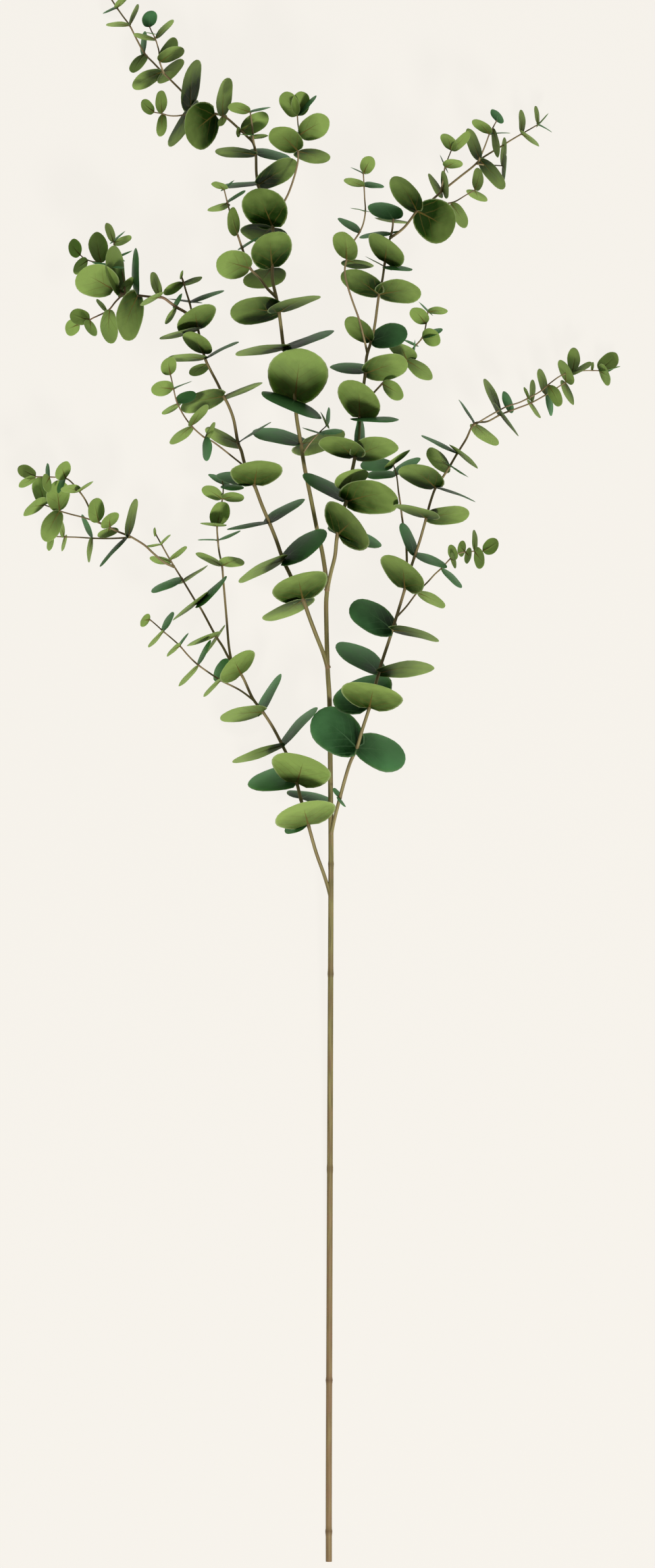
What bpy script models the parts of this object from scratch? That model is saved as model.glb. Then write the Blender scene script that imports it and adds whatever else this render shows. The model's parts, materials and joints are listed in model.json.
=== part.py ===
"""A cut eucalyptus branch with round silver-dollar leaves, lying on a flat surface.

Metres, +Z up. The bare stem runs along +Y from its butt, and the leafy shoots spread over the
surface to both sides of it. The origin lies on the surface, under the flat of the butt.
"""

import math
import random
from collections import namedtuple

import bmesh
import bpy
from mathutils import Matrix, Vector

MM = 0.001

# Driving dimensions, in millimetres.
BLADE = 0.6              # thickness of a leaf
STALK = 0.6              # width of a leaf where it leaves the stem
WIDEST = 1.12            # breadth over length of the largest leaves
NARROWEST = 0.95         # breadth over length of the smallest leaves
FULL_GROWN = 40          # length of the largest leaves
LARGE_LEAF = 21          # length from which a leaf has the fuller outline
CLEARANCE = 0.3          # gap between a shoot's foot and the stem it grows from
STRAIGHTEN = 0.6         # a stem's route keeps only the bends larger than this
STEM_SIDES = 6
TWIG_SIDES = 4
BULGE = (0.02, 0.10)     # how far a leaf's middle stands up from the line to its tip, over its length
ARCH = (0.02, 0.16)      # how far a leaf's edges bend back, over half its breadth
ON_EDGE = 0.4            # share of those bends left on a leaf that is seen on edge
TAPER = 1.8              # above 1, a stem keeps its thickness and tapers towards its tip
SEED = 11                # for the small differences between one leaf and the next

UNDER = "under"          # seen from above, the leaf shows its underside
OVER = "over"            # seen from above, the leaf shows its upper side

LEAF_GREEN = (0.10, 0.22, 0.055, 1.0)
BARK_OLIVE = (0.20, 0.16, 0.075, 1.0)
ROUGHNESS = 0.5

# Half outlines of a leaf past its stalk: share of the length, share of the half breadth.
LARGE_OUTLINE = [(0.20, 0.84), (0.58, 1.0), (0.95, 0.44)]
SMALL_OUTLINE = [(0.40, 1.0), (0.92, 0.50)]

Leaf = namedtuple("Leaf", "tip_x tip_y breadth face lift", defaults=[0])
Joint = namedtuple("Joint", "x y length leaves")
Shoot = namedtuple("Shoot", "name parent thickness route joints")


def pair(x, y, length, *leaves):
    """The leaves that leave the stem at one joint, usually two that face each other."""
    return Joint(x, y, length, [Leaf(*leaf) for leaf in leaves])


# Each shoot gives, in millimetres, the stem's diameter at its foot and tip, then its route from
# foot to tip, then its joints: pair(x, y, length of the leaves, leaf, leaf). A leaf is (x and y of
# its tip, breadth as seen from above, the side it shows, and degrees that it is lifted clear).

MAIN_STEM = Shoot(
    "main_stem", None, (4.6, 1.1),
    [(0, -30, 0), (0, 30, 0), (0.5, 176.5, 5), (1, 326.5, 14), (1.5, 463.5, 26), (1.5, 512, 32),
     (1, 566, 38), (0.5, 605.5, 41), (-1, 632, 43), (-2, 675, 46), (-1.5, 690.5, 47),
     (-4.5, 713.5, 47), (-8.5, 731.5, 48), (-13.5, 756.5, 49), (-18, 778.5, 50), (-20.5, 795, 51),
     (-23.5, 813, 52), (-25, 827, 52), (-29, 849, 53), (-33, 864.5, 54), (-35, 880, 55),
     (-36.5, 891, 56), (-38.5, 902, 56), (-41, 913, 56), (-41.5, 923.5, 56), (-41, 939, 57),
     (-41, 953, 58), (-44, 968.5, 58), (-51, 981, 58), (-53, 992, 57), (-53.5, 1006.5, 56),
     (-55.5, 1015, 54), (-60, 1020, 52), (-64.5, 1024.5, 50), (-73, 1032.5, 47), (-78, 1036, 45),
     (-83.5, 1037.5, 42), (-93, 1038, 38), (-101, 1042, 34), (-106.5, 1053, 30), (-114, 1061.5, 26),
     (-123, 1070.5, 23), (-129.5, 1077.5, 20), (-136, 1084.5, 18), (-142, 1095.5, 15),
     (-147, 1105.5, 13), (-152, 1112.5, 11), (-156.5, 1119, 9), (-161, 1126, 8)],
    [pair(-20.5, 795, 38, (-55, 806.5, 14, OVER, -4), (9, 796, 17, UNDER, -4)),
     pair(-25, 827, 40, (-20, 865.5, 44.5, UNDER, 8), (-28, 820, 48, OVER, -4)),
     pair(-33, 864.5, 38, (-66.5, 861, 4.5, UNDER), (4, 877.5, 9, OVER)),
     pair(-36.5, 891, 37, (-70.5, 894, 19, UNDER), (-13, 901, 7.5, UNDER)),
     pair(-41.5, 923.5, 30, (-42, 948, 30, UNDER), (-52.5, 910, 23, UNDER)),
     pair(-41, 953, 33, (-54, 981.5, 31, UNDER, 8), (-54, 944.5, 25, UNDER)),
     pair(-52, 984, 32, (-23, 1001, 14, UNDER), (-73.5, 987, 10, OVER)),
     pair(-53.5, 1006.5, 30, (-83, 1009, 5, UNDER), (-31, 1008, 13, OVER)),
     pair(-64.5, 1024.5, 23, (-44.5, 1035, 12, UNDER)),
     pair(-64.5, 1024.5, 8, (-68, 1021.5, 6, UNDER)),
     pair(-78, 1036, 28, (-74.5, 1063, 10.5, UNDER)),
     pair(-78, 1036, 10, (-78, 1029.5, 7, UNDER)),
     pair(-83.5, 1037.5, 33, (-104, 1018, 29, UNDER)),
     pair(-102, 1043.5, 36, (-99, 1075.5, 13, UNDER), (-111.5, 1020, 10, UNDER)),
     pair(-123, 1070.5, 24, (-144.5, 1059, 9, UNDER), (-105.5, 1074, 14, UNDER, -16)),
     pair(-136, 1084.5, 18, (-137.5, 1100, 6, OVER), (-144.5, 1071, 8, UNDER)),
     pair(-147, 1105.5, 18, (-164, 1106, 2, UNDER), (-141.5, 1120, 2.5, UNDER)),
     pair(-156.5, 1119, 13, (-166.5, 1116.5, 4, OVER), (-151, 1127, 4.5, UNDER)),
     pair(-160.5, 1125.5, 10, (-168, 1129, 3.5, UNDER), (-159, 1135, 4, UNDER))])

TOP_TWIG = Shoot(
    "top_twig", "main_stem", (1.6, 0.9),
    [(-41, 956, 58), (-36, 966, 61), (-30, 976, 66), (-25, 989.5, 72), (-22.5, 1000, 76),
     (-22.5, 1007, 78), (-21.5, 1018.5, 80), (-22.5, 1026, 81), (-23, 1033, 82)],
    [pair(-22.5, 1007, 26, (-40.5, 1022.5, 18, UNDER), (-2, 1000, 10, UNDER)),
     pair(-21.5, 1018.5, 23, (0, 1030, 16.5, UNDER), (-38, 1023, 7, OVER)),
     pair(-23, 1032, 18, (-34, 1048.5, 12.5, UNDER), (-18, 1049.5, 13, UNDER), (-9, 1047, 5, OVER))])

INNER_TWIG = Shoot(
    "inner_twig", "main_stem", (2.0, 0.9),
    [(-38.5, 902, 56), (-45, 908, 58), (-51, 916, 61), (-57.5, 922.5, 63), (-62.5, 934.5, 67),
     (-66.5, 946, 70), (-70, 955, 72), (-74, 969.5, 74), (-76.5, 979.5, 74)],
    [pair(-57.5, 922.5, 26, (-81.5, 928.5, 21, UNDER)),
     pair(-63.5, 936.5, 18, (-54.5, 944.5, 4.5, OVER)),
     pair(-66.5, 946.5, 21, (-72, 964.5, 10, UNDER)),
     pair(-74, 969.5, 17, (-86.5, 964, 4.5, UNDER), (-62.5, 979, 4.5, OVER)),
     pair(-76.5, 979, 13, (-82.5, 984, 6.5, UNDER), (-71.5, 985.5, 4, OVER))])

CROWN_TWIG = Shoot(
    "crown_twig", "main_stem", (1.5, 0.9),
    [(-54, 1009.5, 56), (-55.5, 1018, 58), (-56, 1026, 61), (-57.5, 1036.5, 64)],
    [pair(-55.5, 1020.5, 15, (-48.5, 1019.5, 4, UNDER), (-63, 1019, 4, OVER, 4)),
     pair(-57.5, 1037, 17, (-73, 1041.5, 7, UNDER), (-44, 1041, 4, OVER))])

CROWN_SIDE_TWIG = Shoot(
    "crown_side_twig", "main_stem", (1.2, 0.8),
    [(-98, 1040, 36), (-108.5, 1036.5, 41), (-116.5, 1036, 43), (-122.5, 1037.5, 44),
     (-128.5, 1038.5, 44)],
    [pair(-122.5, 1037.5, 17, (-124, 1053.5, 8.5, UNDER), (-123, 1021.5, 7.5, UNDER, 4)),
     pair(-128, 1038.5, 13, (-137.5, 1046, 9.5, UNDER))])

CROWN_UPPER_TWIG = Shoot(
    "crown_upper_twig", "main_stem", (1.2, 0.8),
    [(-121.5, 1069, 24), (-124.5, 1077, 29), (-125, 1084.5, 33), (-127.5, 1093, 36),
     (-130.5, 1099, 38), (-132, 1102.5, 38)],
    [pair(-124.5, 1077, 21, (-112.5, 1094.5, 9, UNDER), (-108, 1087, 9, UNDER)),
     pair(-127.5, 1093.5, 17, (-114, 1107, 3, UNDER), (-142.5, 1096, 2.5, UNDER, -52)),
     pair(-129.5, 1097, 11, (-135, 1093, 8, OVER, 28)),
     pair(-131.5, 1101.5, 13, (-132, 1114, 11.5, OVER))])

LOW_LEFT_SHOOT = Shoot(
    "low_left_shoot", "main_stem", (2.6, 1.0),
    [(1.5, 462.5, 26), (-3.5, 478.5, 28), (-9.5, 495.5, 32), (-15, 515, 36), (-20.5, 534, 38),
     (-23.5, 546, 40), (-29.5, 564, 42), (-34.5, 574.5, 43), (-41, 587, 43), (-48.5, 598.5, 44),
     (-56, 608.5, 44), (-63.5, 624.5, 45), (-72.5, 636.5, 45), (-78, 646.5, 45), (-83.5, 655, 45),
     (-93.5, 673.5, 44), (-97.5, 679, 44), (-107.5, 695.5, 42), (-116.5, 710, 40),
     (-123, 721.5, 39), (-127.5, 729.5, 39)],
    [pair(-15, 515.5, 39, (-19.5, 532, 46, UNDER)),
     pair(-15, 515.5, 20, (-31.5, 514, 11, OVER)),
     pair(-20.5, 534.5, 32, (-2, 540, 17, OVER, -12)),
     pair(-23.5, 546, 40, (-17.5, 566, 45, UNDER), (-55.5, 551, 22, OVER)),
     pair(-34.5, 574, 38, (-71, 561.5, 6.5, UNDER), (-9.5, 602, 7.5, OVER)),
     pair(-48.5, 598.5, 33, (-79, 595.5, 11, UNDER), (-38.5, 624.5, 9, OVER)),
     pair(-64, 626, 30, (-70, 638, 31, UNDER)),
     pair(-83.5, 653.5, 26, (-100.5, 649, 4.5, UNDER), (-78, 666.5, 6.5, OVER, -44)),
     pair(-97, 677.5, 31, (-118, 667, 7, UNDER, 32), (-74, 697, 7, OVER, 40)),
     pair(-107.5, 695.5, 25, (-130.5, 688, 7.5, OVER), (-92.5, 703.5, 2.5, UNDER)),
     pair(-116.5, 710, 16, (-131, 710, 6, UNDER, -52), (-105, 720, 3.5, UNDER)),
     pair(-123, 721.5, 12, (-134.5, 720, 1.5, UNDER), (-118, 727.5, 2, UNDER)),
     pair(-127, 728.5, 7, (-128.5, 732.5, 3, UNDER))])

LOW_LEFT_OUTER_TWIG = Shoot(
    "low_left_outer_twig", "low_left_shoot", (1.4, 0.9),
    [(-54.5, 606.5, 44), (-65.5, 614.5, 47), (-78.5, 621, 52), (-87, 626.5, 54), (-95.5, 632.5, 56),
     (-102.5, 639, 57), (-109, 646.5, 58), (-115, 652, 58), (-121, 657, 58), (-127, 662.5, 58),
     (-132.5, 667, 58)],
    [pair(-79, 621.5, 19, (-78.5, 637.5, 12, OVER, -4), (-91, 611.5, 3.5, UNDER)),
     pair(-95.5, 632.5, 21, (-87, 651, 4.5, OVER), (-110, 617, 3.5, UNDER)),
     pair(-109, 646.5, 14, (-105, 654.5, 3.5, OVER), (-117.5, 641, 4, UNDER)),
     pair(-121, 657, 17, (-115, 671.5, 6, OVER), (-132, 646.5, 3, UNDER)),
     pair(-131, 665.5, 11, (-137.5, 664.5, 9, UNDER))])

LOW_LEFT_INNER_TWIG = Shoot(
    "low_left_inner_twig", "low_left_shoot", (1.8, 0.9),
    [(-71.5, 635, 45), (-73.5, 647.5, 42), (-75, 665, 38), (-76.5, 682.5, 36), (-77.5, 694, 36),
     (-78.5, 706, 37), (-80.5, 715.5, 39), (-81.5, 724.5, 41), (-82, 735, 43), (-80, 746.5, 45),
     (-78, 755, 46), (-77.5, 764, 47), (-78.5, 769, 47)],
    [pair(-78.5, 706, 19, (-98, 715, 5, UNDER), (-64.5, 710.5, 9.5, UNDER)),
     pair(-81.5, 724.5, 17, (-94, 725.5, 2, OVER), (-64.5, 731.5, 3, OVER)),
     pair(-82, 734.5, 19, (-78.5, 752.5, 14, UNDER), (-87, 736.5, 6, UNDER)),
     pair(-78, 754.5, 17, (-92.5, 763, 9, UNDER), (-63, 757, 7.5, UNDER)),
     pair(-77.5, 765, 17, (-84, 773, 9, OVER), (-64.5, 761, 6.5, OVER))])

FAR_LEFT_SPRAY = Shoot(
    "far_left_spray", "low_left_shoot", (1.6, 0.9),
    [(-113.5, 705, 40), (-120.5, 708, 43), (-128.5, 714.5, 46), (-135, 720.5, 48),
     (-143, 725.5, 50), (-147, 727.5, 51), (-156, 731, 53), (-162.5, 734.5, 54), (-168.5, 737, 55),
     (-173.5, 743.5, 56), (-178, 753, 57), (-182.5, 759.5, 57), (-187.5, 765.5, 56),
     (-193, 769.5, 54), (-203.5, 770.5, 50), (-215.5, 771, 45)],
    [pair(-147, 727.5, 28, (-142, 754, 6, UNDER), (-168, 704.5, 4.5, OVER)),
     pair(-160.5, 733.5, 16, (-160, 743, 13, UNDER), (-163.5, 726.5, 13, UNDER)),
     pair(-168.5, 737, 18.5, (-172, 754, 12.5, UNDER)),
     pair(-182.5, 759.5, 15, (-175, 765.5, 2, UNDER), (-194.5, 762.5, 7, UNDER)),
     pair(-192.5, 769.5, 15, (-196, 779.5, 13, UNDER), (-199.5, 762.5, 8, OVER)),
     pair(-204.5, 771, 14, (-208, 777, 7, OVER), (-208.5, 761, 9, UNDER)),
     pair(-215, 771, 14, (-228, 778, 10, UNDER), (-227.5, 763.5, 5.5, UNDER))])

FAR_LEFT_MIDDLE_TWIG = Shoot(
    "far_left_middle_twig", "far_left_spray", (1.2, 0.9),
    [(-166, 736, 55), (-174, 739, 49), (-181.5, 741.5, 44), (-189, 743.5, 39), (-197, 746, 34),
     (-203, 748.5, 31), (-209.5, 751, 29)],
    [pair(-198, 746.5, 23, (-200, 768.5, 17, UNDER), (-209, 724, 13, UNDER)),
     pair(-209, 751, 21, (-213.5, 771.5, 14, UNDER), (-222.5, 747, 10, UNDER))])

FAR_LEFT_LOWER_TWIG = Shoot(
    "far_left_lower_twig", "far_left_spray", (1.3, 0.9),
    [(-145, 726.5, 51), (-153, 726, 44), (-163.5, 726, 35), (-174, 726.5, 27), (-185.5, 727.5, 19),
     (-195.5, 728, 13), (-203.5, 728.5, 10)],
    [pair(-174, 726.5, 19, (-182, 744, 4.5, OVER), (-177, 709, 3.5, UNDER)),
     pair(-195.5, 728, 13, (-198, 739, 4, UNDER), (-196, 719.5, 3.5, UNDER)),
     pair(-203, 728.5, 13, (-208, 719.5, 5.5, UNDER), (-207, 737.5, 5.5, OVER))])

LEFT_SHOOT = Shoot(
    "left_shoot", "main_stem", (3.0, 1.3),
    [(-0.5, 630.5, 43), (-4.5, 642.5, 46), (-8.5, 652.5, 50), (-13.5, 665.5, 54), (-19, 680.5, 58),
     (-25, 691.5, 59), (-29, 700, 60), (-33.5, 709.5, 61), (-38.5, 724, 62), (-43.5, 736.5, 62),
     (-49, 749.5, 63), (-54.5, 764, 64), (-61, 778, 64), (-64, 789, 64), (-66.5, 795, 64),
     (-69.5, 811.5, 64), (-73.5, 822.5, 64), (-77, 829, 64), (-81.5, 838.5, 63), (-87, 849, 62),
     (-90.5, 856.5, 62), (-93, 866, 61), (-95.5, 877, 60), (-99, 886, 60), (-102, 898, 58),
     (-104.5, 906, 57), (-106.5, 913, 56), (-108, 917, 56)],
    [pair(-19, 680.5, 38, (-22.5, 698, 42, UNDER), (-41, 665.5, 13, UNDER)),
     pair(-33.5, 709.5, 38, (-65.5, 694.5, 7, UNDER), (-0.5, 729, 17, OVER, 12)),
     pair(-43.5, 736.5, 33, (-74, 732.5, 4.5, OVER), (-21, 754.5, 10, OVER)),
     pair(-54.5, 764, 35, (-51, 780.5, 37, UNDER), (-70, 773, 18, OVER, 8)),
     pair(-66.5, 795, 28, (-91.5, 802, 10, UNDER, -56), (-42, 810, 3, OVER, 4)),
     pair(-77, 829, 33, (-108, 820.5, 13, UNDER), (-53, 837, 3, UNDER)),
     pair(-90.5, 856.5, 28, (-116, 857.5, 4.5, UNDER), (-66, 868, 4.5, OVER, -4)),
     pair(-89, 853, 16, (-100, 844.5, 8, UNDER)),
     pair(-91.5, 860, 24, (-101.5, 878, 16, UNDER, 12)),
     pair(-96, 877.5, 30, (-97.5, 892.5, 30, UNDER), (-123, 871.5, 2.5, UNDER)),
     pair(-102, 898, 26, (-76.5, 906.5, 5.5, OVER), (-112, 901.5, 6.5, OVER, -4)),
     pair(-106.5, 913, 17, (-95.5, 914.5, 4.5, UNDER), (-121, 904, 6, UNDER)),
     pair(-107.5, 916, 7, (-108, 920, 3, UNDER))])

LEFT_INNER_TWIG = Shoot(
    "left_inner_twig", "left_shoot", (1.3, 0.9),
    [(-59.5, 776, 64), (-70, 784, 73), (-78.5, 790.5, 79), (-85, 795, 83), (-91, 798, 85),
     (-99, 805, 86), (-104.5, 812, 86), (-108, 818, 86), (-111, 824.5, 86), (-113, 833, 86),
     (-114.5, 840, 85), (-116, 845.5, 84)],
    [pair(-90.5, 797.5, 18, (-87.5, 781, 8, OVER), (-84, 804, 7, UNDER)),
     pair(-100, 806, 21, (-114.5, 793, 6.5, UNDER), (-90, 821, 6.5, UNDER)),
     pair(-110.5, 822.5, 16, (-118, 815.5, 5, UNDER), (-98, 831.5, 10, OVER)),
     pair(-113, 833, 17, (-129, 833.5, 11, UNDER), (-102, 838.5, 2.5, OVER)),
     pair(-115.5, 843, 14, (-117, 855.5, 12, UNDER))])

LEFT_OUTER_SPRAY = Shoot(
    "left_outer_spray", "left_shoot", (2.2, 1.2),
    [(-98, 884, 60), (-104.5, 890, 64), (-111, 893.5, 68), (-116, 897, 70), (-121.5, 900.5, 72),
     (-130.5, 901, 73), (-139.5, 902, 74), (-147.5, 902.5, 74), (-153.5, 904, 74),
     (-157.5, 906.5, 74)],
    [pair(-111.5, 893.5, 13, (-109.5, 902.5, 5.5, OVER, 4), (-119.5, 881.5, 3.5, UNDER)),
     pair(-123.5, 900.5, 19, (-128.5, 919, 7, UNDER), (-134.5, 897, 4.5, UNDER)),
     pair(-139.5, 902, 35, (-142, 936.5, 6.5, OVER, -4), (-149.5, 869.5, 19, UNDER)),
     pair(-152, 903.5, 34, (-156.5, 938.5, 13, UNDER)),
     pair(-154, 904, 18, (-143, 912, 8, UNDER)),
     pair(-157, 906, 30, (-180.5, 918, 25, UNDER, -4))])

LEFT_OUTER_TOP_TWIG = Shoot(
    "left_outer_top_twig", "left_outer_spray", (1.2, 0.8),
    [(-154.5, 904.5, 74), (-159.5, 913, 67), (-163, 921, 62), (-167, 927, 58), (-173, 928, 55),
     (-179, 930.5, 52), (-182.5, 933.5, 50)],
    [pair(-166.5, 927, 23, (-170, 949.5, 13.5, UNDER), (-156.5, 921.5, 8, OVER)),
     pair(-176.5, 929, 15, (-187, 920.5, 8, UNDER)),
     pair(-182, 933, 14, (-189.5, 942.5, 11, UNDER))])

STAR_TWIG = Shoot(
    "star_twig", "left_outer_spray", (1.2, 0.8),
    [(-148.5, 902.5, 74), (-150, 915, 64), (-153.5, 929, 54), (-158, 943.5, 46)],
    [pair(-154, 931, 15, (-159, 939, 6, OVER, -16), (-148, 936, 5, OVER)),
     pair(-158, 943, 15, (-163.5, 957, 6.5, OVER), (-145.5, 945.5, 5.5, UNDER), (-152, 950.5, 4, OVER))])

LEFT_OUTER_LOW_TWIG = Shoot(
    "left_outer_low_twig", "left_outer_spray", (1.3, 0.9),
    [(-150, 903, 74), (-156, 897.5, 68), (-161, 892, 62), (-167.5, 889, 57), (-173.5, 886.5, 53),
     (-178, 884, 50), (-183, 883, 47)],
    [pair(-160.5, 892.5, 25, (-159.5, 867.5, 12, UNDER)),
     pair(-162, 891.5, 12, (-170, 899, 4, UNDER)),
     pair(-175, 885.5, 14, (-189.5, 890, 12.5, UNDER), (-173, 873.5, 8.5, UNDER)),
     pair(-182.5, 883, 13, (-193, 877.5, 11, UNDER))])

RIGHT_SHOOT = Shoot(
    "right_shoot", "main_stem", (2.8, 1.4),
    [(-1.5, 687.5, 47), (1.5, 700.5, 54), (4.5, 712.5, 62), (6, 726, 70), (10, 743, 76),
     (12.5, 751.5, 78), (13.5, 760.5, 80), (17, 774, 82), (19, 783.5, 83), (21.5, 796.5, 84),
     (22.5, 812, 85), (24, 826, 85), (26.5, 844.5, 85), (27.5, 856.5, 85), (31, 868.5, 85),
     (33.5, 880, 85), (36.5, 902, 84), (39, 913, 83), (40.5, 923.5, 82), (42.5, 935.5, 80),
     (46, 948.5, 78), (47, 957.5, 77)],
    [pair(6, 727.5, 38, (19.5, 739, 44, UNDER), (33, 726.5, 17, OVER)),
     pair(12.5, 751.5, 40, (-14.5, 773, 14, OVER), (51, 757, 26, UNDER, 12)),
     pair(13.5, 760.5, 25, (19.5, 774, 21, UNDER)),
     pair(19, 783.5, 33, (-0.5, 797.5, 18, UNDER), (48, 793.5, 17, UNDER)),
     pair(20, 788, 26, (23.5, 812.5, 8, OVER)),
     pair(22.5, 812, 33, (21, 837.5, 30, UNDER), (44.5, 807.5, 9, OVER)),
     pair(26.5, 844.5, 32, (9, 853.5, 17, OVER), (56, 854, 18, UNDER)),
     pair(30.5, 867.5, 25, (16, 882, 13.5, UNDER, -24), (56.5, 875.5, 19, OVER)),
     pair(36.5, 902, 32, (10.5, 918, 16, UNDER), (66, 905, 16.5, UNDER)),
     pair(40.5, 925.5, 30, (42, 949, 27, UNDER, 20)),
     pair(40.5, 922.5, 22, (32.5, 928, 3, OVER), (59.5, 918.5, 6, OVER)),
     pair(45.5, 946.5, 18, (60, 939, 12, UNDER, -76), (22, 944, 6, OVER, -4)),
     pair(47, 957, 25, (36, 971, 20, OVER), (60.5, 957, 3.5, OVER, -36))])

RIGHT_INNER_TWIG = Shoot(
    "right_inner_twig", "right_shoot", (1.5, 0.9),
    [(28, 859.5, 85), (25, 871.5, 93), (22, 882.5, 99), (17, 896, 103), (13, 908.5, 105),
     (11.5, 917.5, 106), (13, 926, 106), (17, 937, 106), (22, 945, 105), (25, 952, 104),
     (26.5, 961, 103), (26, 969.5, 102), (25.5, 979.5, 101), (25, 989, 100)],
    [pair(13, 925.5, 23, (11.5, 944.5, 18, UNDER), (28.5, 920.5, 7, UNDER)),
     pair(22, 944.5, 20, (7.5, 956.5, 7.5, OVER)),
     pair(26.5, 961, 15, (18.5, 961.5, 2.5, OVER)),
     pair(25.5, 979, 16, (11.5, 984, 5, UNDER), (38.5, 981, 7, OVER)),
     pair(25, 988.5, 13, (31.5, 1000.5, 10.5, UNDER), (18, 993, 2.5, OVER))])

RIGHT_OUTER_TWIG = Shoot(
    "right_outer_twig", "right_shoot", (1.5, 0.9),
    [(23.5, 819, 85), (30, 827.5, 79), (37, 835.5, 74), (46, 845, 70), (56.5, 854.5, 67),
     (59.5, 861, 66), (63, 865.5, 66), (67.5, 870.5, 66), (70, 876.5, 66), (71.5, 884.5, 65),
     (72.5, 891, 64)],
    [pair(39, 837.5, 19, (54.5, 828, 11, UNDER)),
     pair(57, 855, 23, (75.5, 841.5, 9.5, UNDER), (49, 868, 15, UNDER, 4)),
     pair(63, 865.5, 12, (58, 870, 4.5, OVER), (61.5, 861.5, 4, OVER, 4)),
     pair(68, 871.5, 15, (81, 871.5, 13, UNDER), (83, 878, 5.5, OVER)),
     pair(71, 881.5, 16, (61, 893, 11, UNDER)),
     pair(72.5, 890.5, 15, (86.5, 891.5, 5, UNDER), (69.5, 896, 5, OVER))])

TOP_RIGHT_SPRAY = Shoot(
    "top_right_spray", "right_shoot", (1.8, 0.9),
    [(44.5, 943.5, 79), (50.5, 947.5, 77), (55.5, 952, 75), (60, 958, 72), (64.5, 964, 69),
     (73.5, 971, 63), (83, 979.5, 57), (96.5, 991, 49), (105.5, 998.5, 43), (111.5, 1004.5, 39),
     (118.5, 1009.5, 34), (127, 1015, 29), (135, 1020.5, 23), (142, 1025, 18), (148.5, 1029, 14),
     (155, 1033, 11)],
    [pair(64.5, 964, 31, (47.5, 988.5, 15, UNDER), (90.5, 948, 31, UNDER)),
     pair(83, 979.5, 20, (74, 988.5, 6.5, UNDER), (86.5, 987, 12, UNDER)),
     pair(111, 1004, 24, (101.5, 1027, 8, UNDER), (129, 983, 8.5, UNDER)),
     pair(142, 1025, 18, (142, 1042.5, 4.5, UNDER), (153.5, 1017.5, 2.5, UNDER)),
     pair(154.5, 1032.5, 14, (153, 1046, 3, UNDER), (163.5, 1029, 3, OVER), (160.5, 1038, 2.5, UNDER))])

TOP_RIGHT_LOW_TWIG = Shoot(
    "top_right_low_twig", "top_right_spray", (1.2, 0.8),
    [(74.5, 972, 62), (82.5, 970.5, 56), (91.5, 972, 51), (100.5, 977.5, 46), (107, 981.5, 43)],
    [pair(89.5, 971.5, 21, (100.5, 953.5, 8.5, UNDER)),
     pair(107, 981.5, 17, (111, 996, 9, UNDER), (110.5, 975, 11, UNDER))])

TOP_RIGHT_HIGH_TWIG = Shoot(
    "top_right_high_twig", "top_right_spray", (1.2, 0.8),
    [(81.5, 978, 58), (83.5, 986.5, 62), (84.5, 994.5, 65), (86.5, 1001, 67), (89.5, 1008.5, 68)],
    [pair(85, 996, 15, (96, 1000, 7.5, UNDER), (83.5, 1002, 3, OVER)),
     pair(89.5, 1008, 15, (85.5, 1019.5, 10, UNDER), (103, 1021.5, 6.5, UNDER))])

TOP_RIGHT_TIP_TWIG = Shoot(
    "top_right_tip_twig", "top_right_spray", (1.1, 0.8),
    [(110, 1003, 40), (114.5, 1013.5, 45), (117.5, 1021.5, 49), (120.5, 1027, 52),
     (123, 1031.5, 54)],
    [pair(117.5, 1022, 17, (107, 1032, 7, UNDER), (132, 1023.5, 2.5, OVER)),
     pair(120.5, 1026, 20, (124, 1004.5, 4.5, UNDER)),
     pair(123, 1030.5, 13, (124, 1039, 11, OVER))])

TOP_RIGHT_SIDE_TWIG = Shoot(
    "top_right_side_twig", "top_right_spray", (1.1, 0.8),
    [(108.5, 1001, 41), (116.5, 1000.5, 36), (122.5, 1000.5, 33), (128, 1000.5, 30)],
    [pair(127.5, 1000, 21, (129, 1021.5, 4, UNDER), (129.5, 994, 8, UNDER))])

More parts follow.
